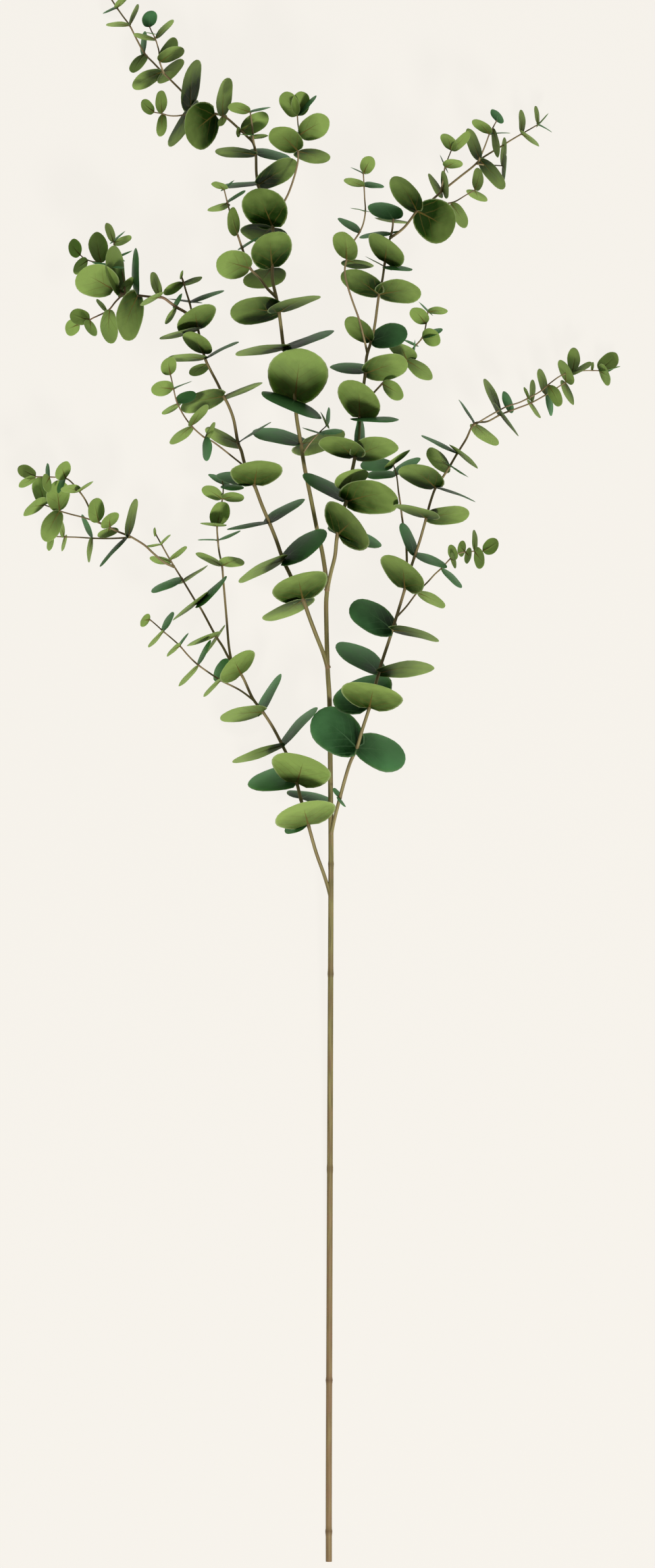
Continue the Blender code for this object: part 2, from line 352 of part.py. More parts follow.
LOW_RIGHT_SHOOT = Shoot(
    "low_right_shoot", "main_stem", (2.6, 0.9),
    [(1.5, 509, 32), (5, 523.5, 38), (8, 535, 45), (11.5, 548, 52), (15.5, 561, 58),
     (20.5, 572, 62), (24.5, 585.5, 65), (29.5, 601, 67), (33, 614, 68), (37, 629, 69),
     (40, 638.5, 70), (44, 650.5, 70), (46.5, 658.5, 71), (51, 673, 71), (55.5, 688, 71),
     (58.5, 699, 71), (62.5, 711.5, 71), (66.5, 723.5, 71), (71, 739.5, 71), (74, 751, 71),
     (78, 762, 70), (83.5, 770, 68), (88.5, 778, 65), (94, 787.5, 61), (100.5, 798, 56),
     (106.5, 809.5, 51), (116.5, 811.5, 46), (126.5, 817, 41), (138, 821.5, 36), (149, 826, 31),
     (159.5, 832, 26), (168, 837.5, 22), (175, 842, 19)],
    [pair(8, 535, 10, (4.5, 542.5, 4.5, OVER), (10, 530, 4, OVER)),
     pair(20.5, 572, 38, (-10.5, 596.5, 33, OVER), (56, 567, 27, OVER)),
     pair(29.5, 601, 40, (33, 618, 46, UNDER), (20.5, 622.5, 46, OVER)),
     pair(36.5, 627, 39, (8.5, 649.5, 18, OVER), (77.5, 630, 11, UNDER)),
     pair(46.5, 658, 35.5, (16, 676.5, 23, OVER), (80, 650.5, 6, UNDER)),
     pair(55.5, 688, 35, (51.5, 709.5, 28, UNDER)),
     pair(62.5, 712, 26, (55.5, 732, 9.5, OVER, 28), (85.5, 706.5, 8.5, OVER)),
     pair(71, 739.5, 32, (51, 751.5, 11, UNDER, 16), (102, 744.5, 13, UNDER)),
     pair(78, 762, 32, (56.5, 777.5, 18, UNDER), (105.5, 753, 3.5, OVER)),
     pair(88.5, 778, 23, (71.5, 786, 13, UNDER), (95, 772, 4.5, OVER)),
     pair(94, 787.5, 26, (67.5, 800.5, 4.5, OVER), (103, 782.5, 5.5, UNDER)),
     pair(106.5, 809.5, 25, (99, 824.5, 4.5, OVER), (122, 794, 8.5, UNDER)),
     pair(125.5, 816.5, 29, (114, 843, 5, UNDER), (133, 808, 2.5, UNDER)),
     pair(131.5, 819.5, 17, (131.5, 833, 9, OVER)),
     pair(149, 826.5, 17, (150, 843, 4, UNDER), (152.5, 818, 4.5, UNDER)),
     pair(159.5, 832, 20, (155.5, 851, 5.5, UNDER, -4), (165.5, 823, 11, OVER)),
     pair(175, 841.5, 20, (174, 858, 11, UNDER, 12), (178, 828, 6.5, UNDER))])

LOW_RIGHT_TIP_TWIG = Shoot(
    "low_right_tip_twig", "low_right_shoot", (1.1, 0.8),
    [(106.5, 808.5, 51), (115.5, 814, 53), (122.5, 818, 53), (131, 822.5, 51), (139, 825, 48),
     (147, 829, 44), (155.5, 834, 39), (163, 840.5, 34), (170.5, 846, 28), (178, 849, 22),
     (187, 850.5, 16), (195, 851, 11), (200, 851, 9)],
    [pair(146, 828.5, 11, (144.5, 835, 3, UNDER)),
     pair(161.5, 839, 18, (169, 825, 8, UNDER, 24)),
     pair(179.5, 849, 18, (181, 867, 9, UNDER), (189.5, 852, 7, UNDER, -12)),
     pair(195, 851, 7, (194.5, 857, 2.5, UNDER)),
     pair(199.5, 851, 17, (212.5, 864, 13, UNDER), (207.5, 844.5, 10, UNDER),
          (214.5, 853.5, 2.5, UNDER))])

LOW_RIGHT_INNER_TWIG = Shoot(
    "low_right_inner_twig", "low_right_shoot", (1.8, 0.9),
    [(57, 693, 71), (57, 706.5, 67), (56.5, 721, 63), (55, 730.5, 60), (53.5, 741, 58),
     (52.5, 749.5, 57), (51, 759.5, 57), (49.5, 771.5, 58), (47, 779.5, 58)],
    [pair(49.5, 771.5, 23, (27, 772, 8, OVER), (65, 785, 9, OVER)),
     pair(47, 779, 22, (23, 778.5, 11, OVER), (53, 786.5, 7.5, UNDER))])

LOW_RIGHT_SIDE_TWIG = Shoot(
    "low_right_side_twig", "low_right_shoot", (1.3, 0.8),
    [(49, 667, 71), (56.5, 675, 66), (64.5, 685.5, 61), (72.5, 693.5, 58), (77.5, 699, 56),
     (83, 704, 55), (89, 710.5, 54), (95, 714.5, 54), (101, 715.5, 54), (106.5, 716, 54),
     (113, 716, 54)],
    [pair(65, 685.5, 22, (85, 675, 7, UNDER)),
     pair(82, 703, 21, (97.5, 690.5, 6, OVER)),
     pair(89, 710.5, 12, (92, 719, 9, UNDER), (93, 707.5, 8, UNDER)),
     pair(100, 715.5, 12, (95, 720, 10, UNDER), (103.5, 709.5, 9, UNDER)),
     pair(106.5, 716, 16, (106.5, 731, 4, UNDER), (113.5, 705.5, 10, UNDER)),
     pair(112.5, 716, 14, (124, 723, 11, UNDER))])

MIDDLE_TWIG = Shoot(
    "middle_twig", "main_stem", (1.2, 0.8),
    [(-19.5, 787.5, 50), (-13.5, 795.5, 57), (-7.5, 802, 62), (-1.5, 807.5, 64)],
    [pair(-1.5, 807, 14, (0.5, 820.5, 3, OVER), (-4.5, 814.5, 2, UNDER)),
     pair(-7, 802.5, 17, (10, 803, 5, OVER, 12), (-15.5, 803.5, 4, OVER))])

# The shoots of each node: the first names it, and the rest are fused to it.
NODES = [
    [MAIN_STEM, MIDDLE_TWIG, CROWN_TWIG, CROWN_SIDE_TWIG, CROWN_UPPER_TWIG],
    [TOP_TWIG],
    [INNER_TWIG],
    [LOW_LEFT_SHOOT],
    [LOW_LEFT_OUTER_TWIG],
    [LOW_LEFT_INNER_TWIG],
    [FAR_LEFT_SPRAY, FAR_LEFT_MIDDLE_TWIG, FAR_LEFT_LOWER_TWIG],
    [LEFT_SHOOT],
    [LEFT_INNER_TWIG],
    [LEFT_OUTER_SPRAY, LEFT_OUTER_TOP_TWIG, STAR_TWIG, LEFT_OUTER_LOW_TWIG],
    [RIGHT_SHOOT],
    [RIGHT_INNER_TWIG],
    [RIGHT_OUTER_TWIG],
    [TOP_RIGHT_SPRAY, TOP_RIGHT_LOW_TWIG, TOP_RIGHT_HIGH_TWIG, TOP_RIGHT_TIP_TWIG,
     TOP_RIGHT_SIDE_TWIG],
    [LOW_RIGHT_SHOOT, LOW_RIGHT_TIP_TWIG],
    [LOW_RIGHT_INNER_TWIG],
    [LOW_RIGHT_SIDE_TWIG],
]


def sides_of(shoot):
    return TWIG_SIDES if shoot.parent else STEM_SIDES


def straightened(points):
    """Drops the points of a line that lie close to the line without them."""
    if len(points) < 3:
        return points
    first, last = points[0], points[-1]
    run = last - first
    misses = []
    for p in points[1:-1]:
        share = min(max((p - first).dot(run) / run.length_squared, 0.0), 1.0)
        misses.append((p - first - run * share).length)
    worst = max(misses)
    if worst < STRAIGHTEN * MM:
        return [first, last]
    i = misses.index(worst) + 1
    return straightened(points[:i + 1])[:-1] + straightened(points[i:])


def axis_of(shoot):
    """The stem's axis, from its foot to its tip. The butt's flat underside lies on the surface."""
    points = [Vector(p) * MM for p in shoot.route]
    if not shoot.parent:
        butt = shoot.thickness[0] / 2 * MM * math.cos(math.pi / STEM_SIDES)
        for p in points:
            p.z = max(p.z, butt)
    return straightened(points)


def radii_of(shoot, points, extra=0.0):
    """The stem's radius at each point of its axis, from foot to tip."""
    foot, tip = (diameter / 2 * MM for diameter in shoot.thickness)
    lengths = [0.0]
    for a, b in zip(points, points[1:]):
        lengths.append(lengths[-1] + (b - a).length)
    return [foot + (tip - foot) * (s / lengths[-1]) ** TAPER + extra for s in lengths]


def tangents(points):
    result = []
    for i in range(len(points)):
        a, b = points[max(i - 1, 0)], points[min(i + 1, len(points) - 1)]
        result.append((b - a).normalized())
    return result


def tube(name, points, radii, sides):
    """A closed tube of flat facets round a line of points, one facet facing down."""
    vertices, faces = [], []
    for point, along, radius in zip(points, tangents(points), radii):
        up = Vector((0, 0, 1))
        up = (up - along * up.dot(along)).normalized()
        across = along.cross(up)
        for k in range(sides):
            angle = 2 * math.pi * (k + 0.5) / sides
            vertices.append(point + radius * (math.cos(angle) * up + math.sin(angle) * across))
    for i in range(len(points) - 1):
        for k in range(sides):
            a, b = i * sides + k, i * sides + (k + 1) % sides
            faces.append((a, b, b + sides, a + sides))
    last = (len(points) - 1) * sides
    faces.append(tuple(reversed(range(sides))))
    faces.append(tuple(last + k for k in range(sides)))
    return closed_mesh(name, vertices, faces)


def closed_mesh(name, vertices, faces):
    """A mesh with the faces of a closed shape turned to point out."""
    mesh = bpy.data.meshes.new(name)
    mesh.from_pydata(vertices, [], faces)
    mesh.calc_loop_triangles()
    volume = 0.0
    for triangle in mesh.loop_triangles:
        a, b, c = (mesh.vertices[i].co for i in triangle.vertices)
        volume += a.dot(b.cross(c))
    if volume < 0:
        mesh.flip_normals()
    return mesh


def nearest_on(points, x, y):
    """The point of an axis nearest to (x, y) as seen from above, and the axis' direction there."""
    best = None
    for a, b in zip(points, points[1:]):
        run = (b - a).xy
        share = min(max((Vector((x, y)) - a.xy).dot(run) / max(run.length_squared, 1e-12), 0.0), 1.0)
        point = a.lerp(b, share)
        miss = (point.xy - Vector((x, y))).length
        if best is None or miss < best[0]:
            best = (miss, point, (b - a).normalized())
    return best[1], best[2]


def leaf_pose(foot, along, length, leaf):
    """A leaf's length and breadth in metres, and the way it points, spreads and faces.

    Its tip as seen from above gives the way it points, and its true length how far it leans out
    of the level. The breadth seen gives how far it is turned. The upper side faces the stem's tip
    as far as the side that shows from above allows, and that settles which way it leans and turns.
    """
    reach = Vector((leaf.tip_x * MM, leaf.tip_y * MM, foot.z)) - foot
    seen = max(reach.length, MM)
    length = max(length * MM, seen)
    share = min(length / (FULL_GROWN * MM), 1.0)
    breadth = max(length * (NARROWEST + (WIDEST - NARROWEST) * share), leaf.breadth * MM)
    flat = reach / seen
    level = Vector((-flat.y, flat.x, 0))
    lean = math.acos(seen / length)
    turn = math.acos(min(leaf.breadth * MM / breadth, 1.0))
    best = None
    for lean_sign in (1, -1):
        forward = Matrix.Rotation(-lean * lean_sign, 3, level) @ flat
        for turn_sign in (1, -1):
            side = Matrix.Rotation(turn * turn_sign, 3, forward) @ level
            upper = forward.cross(side)
            if upper.dot(along) < 0:
                side, upper = -side, -upper
            shows = OVER if upper.z > 0 else UNDER
            score = upper.dot(along) + (2 if shows == leaf.face else 0)
            if best is None or score > best[0]:
                best = (score, forward, side, upper)
    lift = Matrix.Rotation(-math.radians(leaf.lift), 3, level)
    return length, breadth, lift @ best[1], lift @ best[2], lift @ best[3]


def blade(foot, length, breadth, forward, side, upper, bulge, arch):
    """One leaf: a thin plate that bulges on its upper side, with its edges bent back."""
    outline = LARGE_OUTLINE if length >= LARGE_LEAF * MM else SMALL_OUTLINE
    half = [(0.0, STALK * MM / breadth)] + outline
    rim = half + [(u, -v) for u, v in reversed(half)]
    count = len(rim)
    middles = []
    for u, v in rim:
        rise = bulge * 4 * u * (1 - u) * length - arch * v * v * breadth / 2
        middle = foot + forward * (u * length) + side * (v * breadth / 2) + upper * rise
        middle.z = max(middle.z, abs(upper.z) * BLADE * MM / 2)
        middles.append(middle)
    thick = upper * BLADE * MM / 2
    vertices = [m + thick for m in middles] + [m - thick for m in middles]
    faces = []
    for k in range(count // 2 - 1):
        a, b, c, d = k, k + 1, count - 2 - k, count - 1 - k
        for corners in ((a, c, b), (a, d, c)):
            faces.append(corners)
            faces.append(tuple(count + i for i in reversed(corners)))
    for k in range(count):
        n = (k + 1) % count
        faces.append((k, n, count + n, count + k))
    return closed_mesh("leaf", vertices, faces)


def material(name, colour):
    made = bpy.data.materials.new(name)
    made.use_nodes = True
    shader = made.node_tree.nodes["Principled BSDF"]
    shader.inputs["Base Color"].default_value = colour
    shader.inputs["Roughness"].default_value = ROUGHNESS
    shader.inputs["Metallic"].default_value = 0.0
    return made


def add(name, mesh, collection):
    made = bpy.data.objects.new(name, mesh)
    collection.objects.link(made)
    return made


def evaluated_mesh(obj):
    bpy.context.view_layer.update()
    graph = bpy.context.evaluated_depsgraph_get()
    return bpy.data.meshes.new_from_object(obj.evaluated_get(graph))


def is_closed(mesh):
    """Whether every edge has exactly two faces."""
    uses = {}
    for polygon in mesh.polygons:
        for key in polygon.edge_keys:
            uses[key] = uses.get(key, 0) + 1
    return all(count == 2 for count in uses.values())


def apply_boolean(obj, modifier):
    """Applies a Boolean by EXACT, or by MANIFOLD where EXACT leaves the mesh open."""
    for solver in ("EXACT", "MANIFOLD"):
        modifier.solver = solver
        mesh = evaluated_mesh(obj)
        if is_closed(mesh):
            break
    obj.modifiers.clear()
    obj.data = mesh


def stem_of(shoot):
    axis = axis_of(shoot)
    return tube(shoot.name, axis, radii_of(shoot, axis), sides_of(shoot))


def grow(shoots, chance):
    """A leafy stem and the twigs on it as one solid, with every leaf and twig sunk in and fused."""
    scene = bpy.context.scene.collection
    node = add(shoots[0].name, stem_of(shoots[0]), scene)
    growth = bpy.data.collections.new(shoots[0].name + "_growth")
    scene.children.link(growth)
    for twig in shoots[1:]:
        add("twig", stem_of(twig), growth)
    for shoot in shoots:
        axis = axis_of(shoot)
        for joint in shoot.joints:
            foot, along = nearest_on(axis, joint.x * MM, joint.y * MM)
            for leaf in joint.leaves:
                pose = leaf_pose(foot, along, joint.length, leaf)
                kept = ON_EDGE + (1 - ON_EDGE) * abs(pose[-1].z)
                bends = chance.uniform(*BULGE) * kept, chance.uniform(*ARCH) * kept
                add("leaf", blade(foot, *pose, *bends), growth)
    join = node.modifiers.new("growth", "BOOLEAN")
    join.operand_type = "COLLECTION"
    join.collection = growth
    join.operation = "UNION"
    apply_boolean(node, join)
    for grown in list(growth.objects):
        bpy.data.objects.remove(grown)
    bpy.data.collections.remove(growth)
    return node


def cope(node, parent):
    """Cuts the shoot's foot back to a saddle just clear of the stem it grows from."""
    axis = axis_of(parent)
    radii = radii_of(parent, axis, CLEARANCE * MM)
    cutter = add("cutter", tube("cutter", axis, radii, sides_of(parent)), bpy.context.scene.collection)
    cut = node.modifiers.new("foot", "BOOLEAN")
    cut.object = cutter
    cut.operation = "DIFFERENCE"
    apply_boolean(node, cut)
    bpy.data.objects.remove(cutter)
    drop_scraps(node.data)


def drop_scraps(mesh):
    """Keeps only the largest connected body, without what the cut left past the parent's stem."""
    shape = bmesh.new()
    shape.from_mesh(mesh)
    unseen = set(shape.verts)
    bodies = []
    while unseen:
        front = [unseen.pop()]
        body = list(front)
        while front:
            for edge in front.pop().link_edges:
                for vertex in edge.verts:
                    if vertex in unseen:
                        unseen.remove(vertex)
                        front.append(vertex)
                        body.append(vertex)
        bodies.append(body)
    bodies.sort(key=len)
    for body in bodies[:-1]:
        bmesh.ops.delete(shape, geom=body, context="VERTS")
    shape.to_mesh(mesh)
    shape.free()


for old in list(bpy.data.objects):
    bpy.data.objects.remove(old)

chance = random.Random(SEED)
shoots_by_name = {shoot.name: shoot for shoots in NODES for shoot in shoots}
for shoots in NODES:
    node = grow(shoots, chance)
    parent = shoots[0].parent
    if parent:
        cope(node, shoots_by_name[parent])
    node.data.materials.clear()
    node.data.materials.append(material(node.name, LEAF_GREEN if parent else BARK_OLIVE))
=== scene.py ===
import json
import math
import random
from collections import namedtuple

import bpy
from mathutils import Matrix, Vector

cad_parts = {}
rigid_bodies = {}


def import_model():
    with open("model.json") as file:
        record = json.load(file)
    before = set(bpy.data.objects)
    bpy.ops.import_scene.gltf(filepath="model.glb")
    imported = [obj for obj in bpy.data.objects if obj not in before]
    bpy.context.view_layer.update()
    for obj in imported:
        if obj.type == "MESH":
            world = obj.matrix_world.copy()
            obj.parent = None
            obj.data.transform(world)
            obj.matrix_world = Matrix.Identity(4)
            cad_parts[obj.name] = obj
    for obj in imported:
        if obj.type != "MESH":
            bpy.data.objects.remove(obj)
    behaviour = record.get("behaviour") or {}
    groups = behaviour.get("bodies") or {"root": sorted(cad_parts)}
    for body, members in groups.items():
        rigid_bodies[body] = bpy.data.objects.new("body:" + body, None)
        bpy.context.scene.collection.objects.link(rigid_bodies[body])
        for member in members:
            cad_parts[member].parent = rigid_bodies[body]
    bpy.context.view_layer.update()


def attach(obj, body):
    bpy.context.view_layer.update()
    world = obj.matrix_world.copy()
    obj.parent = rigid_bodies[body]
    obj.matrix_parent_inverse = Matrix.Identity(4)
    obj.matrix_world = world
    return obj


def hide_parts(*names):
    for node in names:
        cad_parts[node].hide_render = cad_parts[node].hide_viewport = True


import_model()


# The leader: the cut stem, olive-brown and bare below, green and thin at its tip, with its
# own small twigs. Its leaves are round and waxy, sit in pairs without stalks to speak of, and are
# as they grew. The bark is smooth, with a ring where each fallen pair of leaves stood.

MM = 0.001
BODY = "root"
UNDER = "under"          # seen from above, the leaf shows its underside
OVER = "over"            # seen from above, the leaf shows its upper side

Leaf = namedtuple("Leaf", "tip_x tip_y breadth face lift", defaults=[UNDER, 0])
Joint = namedtuple("Joint", "x y length leaves")
Shoot = namedtuple("Shoot", "name parent thickness route joints")


def pair(x, y, length, *leaves):
    """The leaves that leave the stem at one joint, usually two that face each other."""
    return Joint(x, y, length, [Leaf(*leaf) for leaf in leaves])


# In millimetres: a stem's diameter at its foot and tip, its route from foot to tip, and its
# joints as pair(x, y, length of the leaves, leaf, leaf). A leaf is the x and y of its tip and its
# breadth, as seen from above, and where they are given the side it shows and the degrees that it
# is lifted clear of its neighbours.
MAIN_STEM = Shoot(
    "main_stem", None, (4.6, 1.1),
    [(0, -30, 0), (0, 30, 0), (0.5, 176.5, 5), (1, 326.5, 14), (1.5, 463.5, 26), (1.5, 512, 32),
     (1, 566, 38), (0.5, 605.5, 41), (-1, 632, 43), (-2, 675, 46), (-1.5, 690.5, 47),
     (-4.5, 713.5, 47), (-8.5, 731.5, 48), (-13.5, 756.5, 49), (-18, 778.5, 50), (-20.5, 795, 51),
     (-23.5, 813, 52), (-25, 827, 52), (-29, 849, 53), (-33, 864.5, 54), (-35, 880, 55),
     (-36.5, 891, 56), (-38.5, 902, 56), (-41, 913, 56), (-41.5, 923.5, 56), (-41, 939, 57),
     (-41, 953, 58), (-44, 968.5, 58), (-51, 981, 58), (-53, 992, 57), (-53.5, 1006.5, 56),
     (-55.5, 1015, 54), (-60, 1020, 52), (-64.5, 1024.5, 50), (-73, 1032.5, 47), (-78, 1036, 45),
     (-83.5, 1037.5, 42), (-93, 1038, 38), (-101, 1042, 34), (-106.5, 1053, 30), (-114, 1061.5, 26),
     (-123, 1070.5, 23), (-129.5, 1077.5, 20), (-136, 1084.5, 18), (-142, 1095.5, 15),
     (-147, 1105.5, 13), (-152, 1112.5, 11), (-156.5, 1119, 9), (-161, 1126, 8)],
    [pair(-20.5, 795, 38, (-55, 806.5, 14, OVER, -4), (9, 796, 17, UNDER, -4)),
     pair(-25, 827, 40, (-20, 865.5, 44.5, UNDER, 8), (-28, 820, 48, OVER, -4)),
     pair(-33, 864.5, 38, (-66.5, 861, 4.5), (4, 877.5, 9, OVER)),
     pair(-36.5, 891, 37, (-70.5, 894, 19), (-13, 901, 7.5)),
     pair(-41.5, 923.5, 30, (-42, 948, 30), (-52.5, 910, 23)),
     pair(-41, 953, 33, (-54, 981.5, 31, UNDER, 8), (-54, 944.5, 25)),
     pair(-52, 984, 32, (-23, 1001, 14), (-73.5, 987, 10, OVER)),
     pair(-53.5, 1006.5, 30, (-83, 1009, 5), (-31, 1008, 13, OVER)),
     pair(-64.5, 1024.5, 23, (-44.5, 1035, 12)),
     pair(-64.5, 1024.5, 8, (-68, 1021.5, 6)),
     pair(-78, 1036, 28, (-74.5, 1063, 10.5)),
     pair(-78, 1036, 10, (-78, 1029.5, 7)),
     pair(-83.5, 1037.5, 33, (-104, 1018, 29)),
     pair(-102, 1043.5, 36, (-99, 1075.5, 13), (-111.5, 1020, 10)),
     pair(-123, 1070.5, 24, (-144.5, 1059, 9), (-105.5, 1074, 14, UNDER, -16)),
     pair(-136, 1084.5, 18, (-137.5, 1100, 6, OVER), (-144.5, 1071, 8)),
     pair(-147, 1105.5, 18, (-164, 1106, 2), (-141.5, 1120, 2.5)),
     pair(-156.5, 1119, 13, (-166.5, 1116.5, 4, OVER), (-151, 1127, 4.5)),
     pair(-160.5, 1125.5, 10, (-168, 1129, 3.5), (-159, 1135, 4))])

MIDDLE_TWIG = Shoot(
    "middle_twig", "main_stem", (1.2, 0.8),
    [(-19.5, 787.5, 50), (-13.5, 795.5, 57), (-7.5, 802, 62), (-1.5, 807.5, 64)],
    [pair(-1.5, 807, 14, (0.5, 820.5, 3, OVER), (-4.5, 814.5, 2)),
     pair(-7, 802.5, 17, (10, 803, 5, OVER, 12), (-15.5, 803.5, 4, OVER))])

CROWN_TWIG = Shoot(
    "crown_twig", "main_stem", (1.5, 0.9),
    [(-54, 1009.5, 56), (-55.5, 1018, 58), (-56, 1026, 61), (-57.5, 1036.5, 64)],
    [pair(-55.5, 1020.5, 15, (-48.5, 1019.5, 4), (-63, 1019, 4, OVER, 4)),
     pair(-57.5, 1037, 17, (-73, 1041.5, 7), (-44, 1041, 4, OVER))])

CROWN_SIDE_TWIG = Shoot(
    "crown_side_twig", "main_stem", (1.2, 0.8),
    [(-98, 1040, 36), (-108.5, 1036.5, 41), (-116.5, 1036, 43), (-122.5, 1037.5, 44),
     (-128.5, 1038.5, 44)],
    [pair(-122.5, 1037.5, 17, (-124, 1053.5, 8.5), (-123, 1021.5, 7.5, UNDER, 4)),
     pair(-128, 1038.5, 13, (-137.5, 1046, 9.5))])

CROWN_UPPER_TWIG = Shoot(
    "crown_upper_twig", "main_stem", (1.2, 0.8),
    [(-121.5, 1069, 24), (-124.5, 1077, 29), (-125, 1084.5, 33), (-127.5, 1093, 36),
     (-130.5, 1099, 38), (-132, 1102.5, 38)],
    [pair(-124.5, 1077, 21, (-112.5, 1094.5, 9), (-108, 1087, 9)),
     pair(-127.5, 1093.5, 17, (-114, 1107, 3), (-142.5, 1096, 2.5, UNDER, -52)),
     pair(-129.5, 1097, 11, (-135, 1093, 8, OVER, 28)),
     pair(-131.5, 1101.5, 13, (-132, 1114, 11.5, OVER))])

# Where the bare stem has the ring of a lost pair of leaves, in millimetres from the origin.
OLD_RINGS = [486, 406, 261, 104, -8]
RING_SWELL = 0.16        # a ring's and a joint's swelling, over the stem's radius
RING_REACH = 1.6 * MM    # half the length of a ring or joint
COLLAR_SWELL = 0.45      # the collar where a twig leaves its parent
COLLAR_REACH = 4 * MM
STEP = 2.5 * MM          # length of one ring of faces on a stem
BUTT_SIDES = 6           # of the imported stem, which settles how high its butt lies
STRAIGHTEN = 0.6 * MM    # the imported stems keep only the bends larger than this
TAPER = 1.8              # above 1, a stem keeps its thickness and tapers towards its tip


def straightened(points):
    """Drops the points of a line that lie close to the line without them."""
    if len(points) < 3:
        return points
    first, last = points[0], points[-1]
    run = last - first
    misses = []
    for p in points[1:-1]:
        share = min(max((p - first).dot(run) / run.length_squared, 0.0), 1.0)
        misses.append((p - first - run * share).length)
    worst = max(misses)
    if worst < STRAIGHTEN:
        return [first, last]
    i = misses.index(worst) + 1
    return straightened(points[:i + 1])[:-1] + straightened(points[i:])


def route_of(shoot):
    """The stem's route in metres. The butt's flat underside lies on the surface."""
    points = [Vector(p) * MM for p in shoot.route]
    if not shoot.parent:
        butt = shoot.thickness[0] / 2 * MM * math.cos(math.pi / BUTT_SIDES)
        for p in points:
            p.z = max(p.z, butt)
    return points


def smooth(points):
    """A curve through every point of a route, in even steps."""
    ends = [points[0] * 2 - points[1]] + points + [points[-1] * 2 - points[-2]]
    line = [points[0]]
    for a, b, c, d in zip(ends, ends[1:], ends[2:], ends[3:]):
        steps = max(1, round((c - b).length / STEP))
        for k in range(1, steps + 1):
            t = k / steps
            line.append(0.5 * (2 * b + (c - a) * t + (2 * a - 5 * b + 4 * c - d) * t * t
                               + (3 * b - 3 * c + d - a) * t * t * t))
    return line


def nearest_on(points, x, y):
    """The point of a line nearest to (x, y) as seen from above, and the line's direction there."""
    best = None
    for a, b in zip(points, points[1:]):
        run = (b - a).xy
        share = min(max((Vector((x, y)) - a.xy).dot(run) / max(run.length_squared, 1e-12), 0.0), 1.0)
        point = a.lerp(b, share)
        miss = (point.xy - Vector((x, y))).length
        if best is None or miss < best[0]:
            best = (miss, point, (b - a).normalized())
    return best[1], best[2]


WIDEST = 1.12            # breadth over length of the largest leaves
NARROWEST = 0.95         # breadth over length of the smallest leaves
FULL_GROWN = 40 * MM     # length of the largest leaves
BULGE = (0.02, 0.10)     # how far a leaf's middle stands up from the line to its tip, over its length
ARCH = (0.02, 0.16)      # how far a leaf's edges bend back, over half its breadth
ON_EDGE = 0.4            # share of those bends left on a leaf that is seen on edge
bend_chance = random.Random(11)
tone_chance = random.Random(5)


def leaf_pose(foot, along, length, leaf):
    """A leaf's length and breadth in metres, and the way it points, spreads and faces.

    Its tip as seen from above gives the way it points, and its true length how far it leans out
    of the level. The breadth seen gives how far it is turned. The upper side faces the stem's tip
    as far as the side that shows from above allows, and that settles which way it leans and turns.
    """
    reach = Vector((leaf.tip_x * MM, leaf.tip_y * MM, foot.z)) - foot
    seen = max(reach.length, MM)
    length = max(length * MM, seen)
    share = min(length / FULL_GROWN, 1.0)
    breadth = max(length * (NARROWEST + (WIDEST - NARROWEST) * share), leaf.breadth * MM)
    flat = reach / seen
    level = Vector((-flat.y, flat.x, 0))
    lean = math.acos(seen / length)
    turn = math.acos(min(leaf.breadth * MM / breadth, 1.0))
    best = None
    for lean_sign in (1, -1):
        forward = Matrix.Rotation(-lean * lean_sign, 3, level) @ flat
        for turn_sign in (1, -1):
            side = Matrix.Rotation(turn * turn_sign, 3, forward) @ level
            upper = forward.cross(side)
            if upper.dot(along) < 0:
                side, upper = -side, -upper
            shows = OVER if upper.z > 0 else UNDER
            score = upper.dot(along) + (2 if shows == leaf.face else 0)
            if best is None or score > best[0]:
                best = (score, forward, side, upper)
    lift = Matrix.Rotation(-math.radians(leaf.lift), 3, level)
    return length, breadth, lift @ best[1], lift @ best[2], lift @ best[3]


def stem_points(shoot, tint):
    """The points of a stem's axis, each with its girth, its distance from the foot and its rings."""
    line = smooth(route_of(shoot))
    lengths = [0.0]
    for a, b in zip(line, line[1:]):
        lengths.append(lengths[-1] + (b - a).length)
    foot, tip = (diameter / 2 * MM for diameter in shoot.thickness)
    rings = [nearest_on(line, joint.x * MM, joint.y * MM)[0] for joint in shoot.joints]
    if not shoot.parent:
        rings += [nearest_on(line, 0, y * MM)[0] for y in OLD_RINGS]
    made = []
    for p, s in zip(line, lengths):
        radius = foot + (tip - foot) * (s / lengths[-1]) ** TAPER
        ring = max(math.exp(-((p - r).length / RING_REACH) ** 2) for r in rings)
        collar = math.exp(-s / COLLAR_REACH) if shoot.parent else 0.0
        girth = radius * (1 + RING_SWELL * ring + COLLAR_SWELL * collar)
        made.append({"at": Vector((p.x, p.y, max(p.z, girth))), "girth": girth,
                     "from_foot": s, "ring": ring, "tint": tint})
    return made


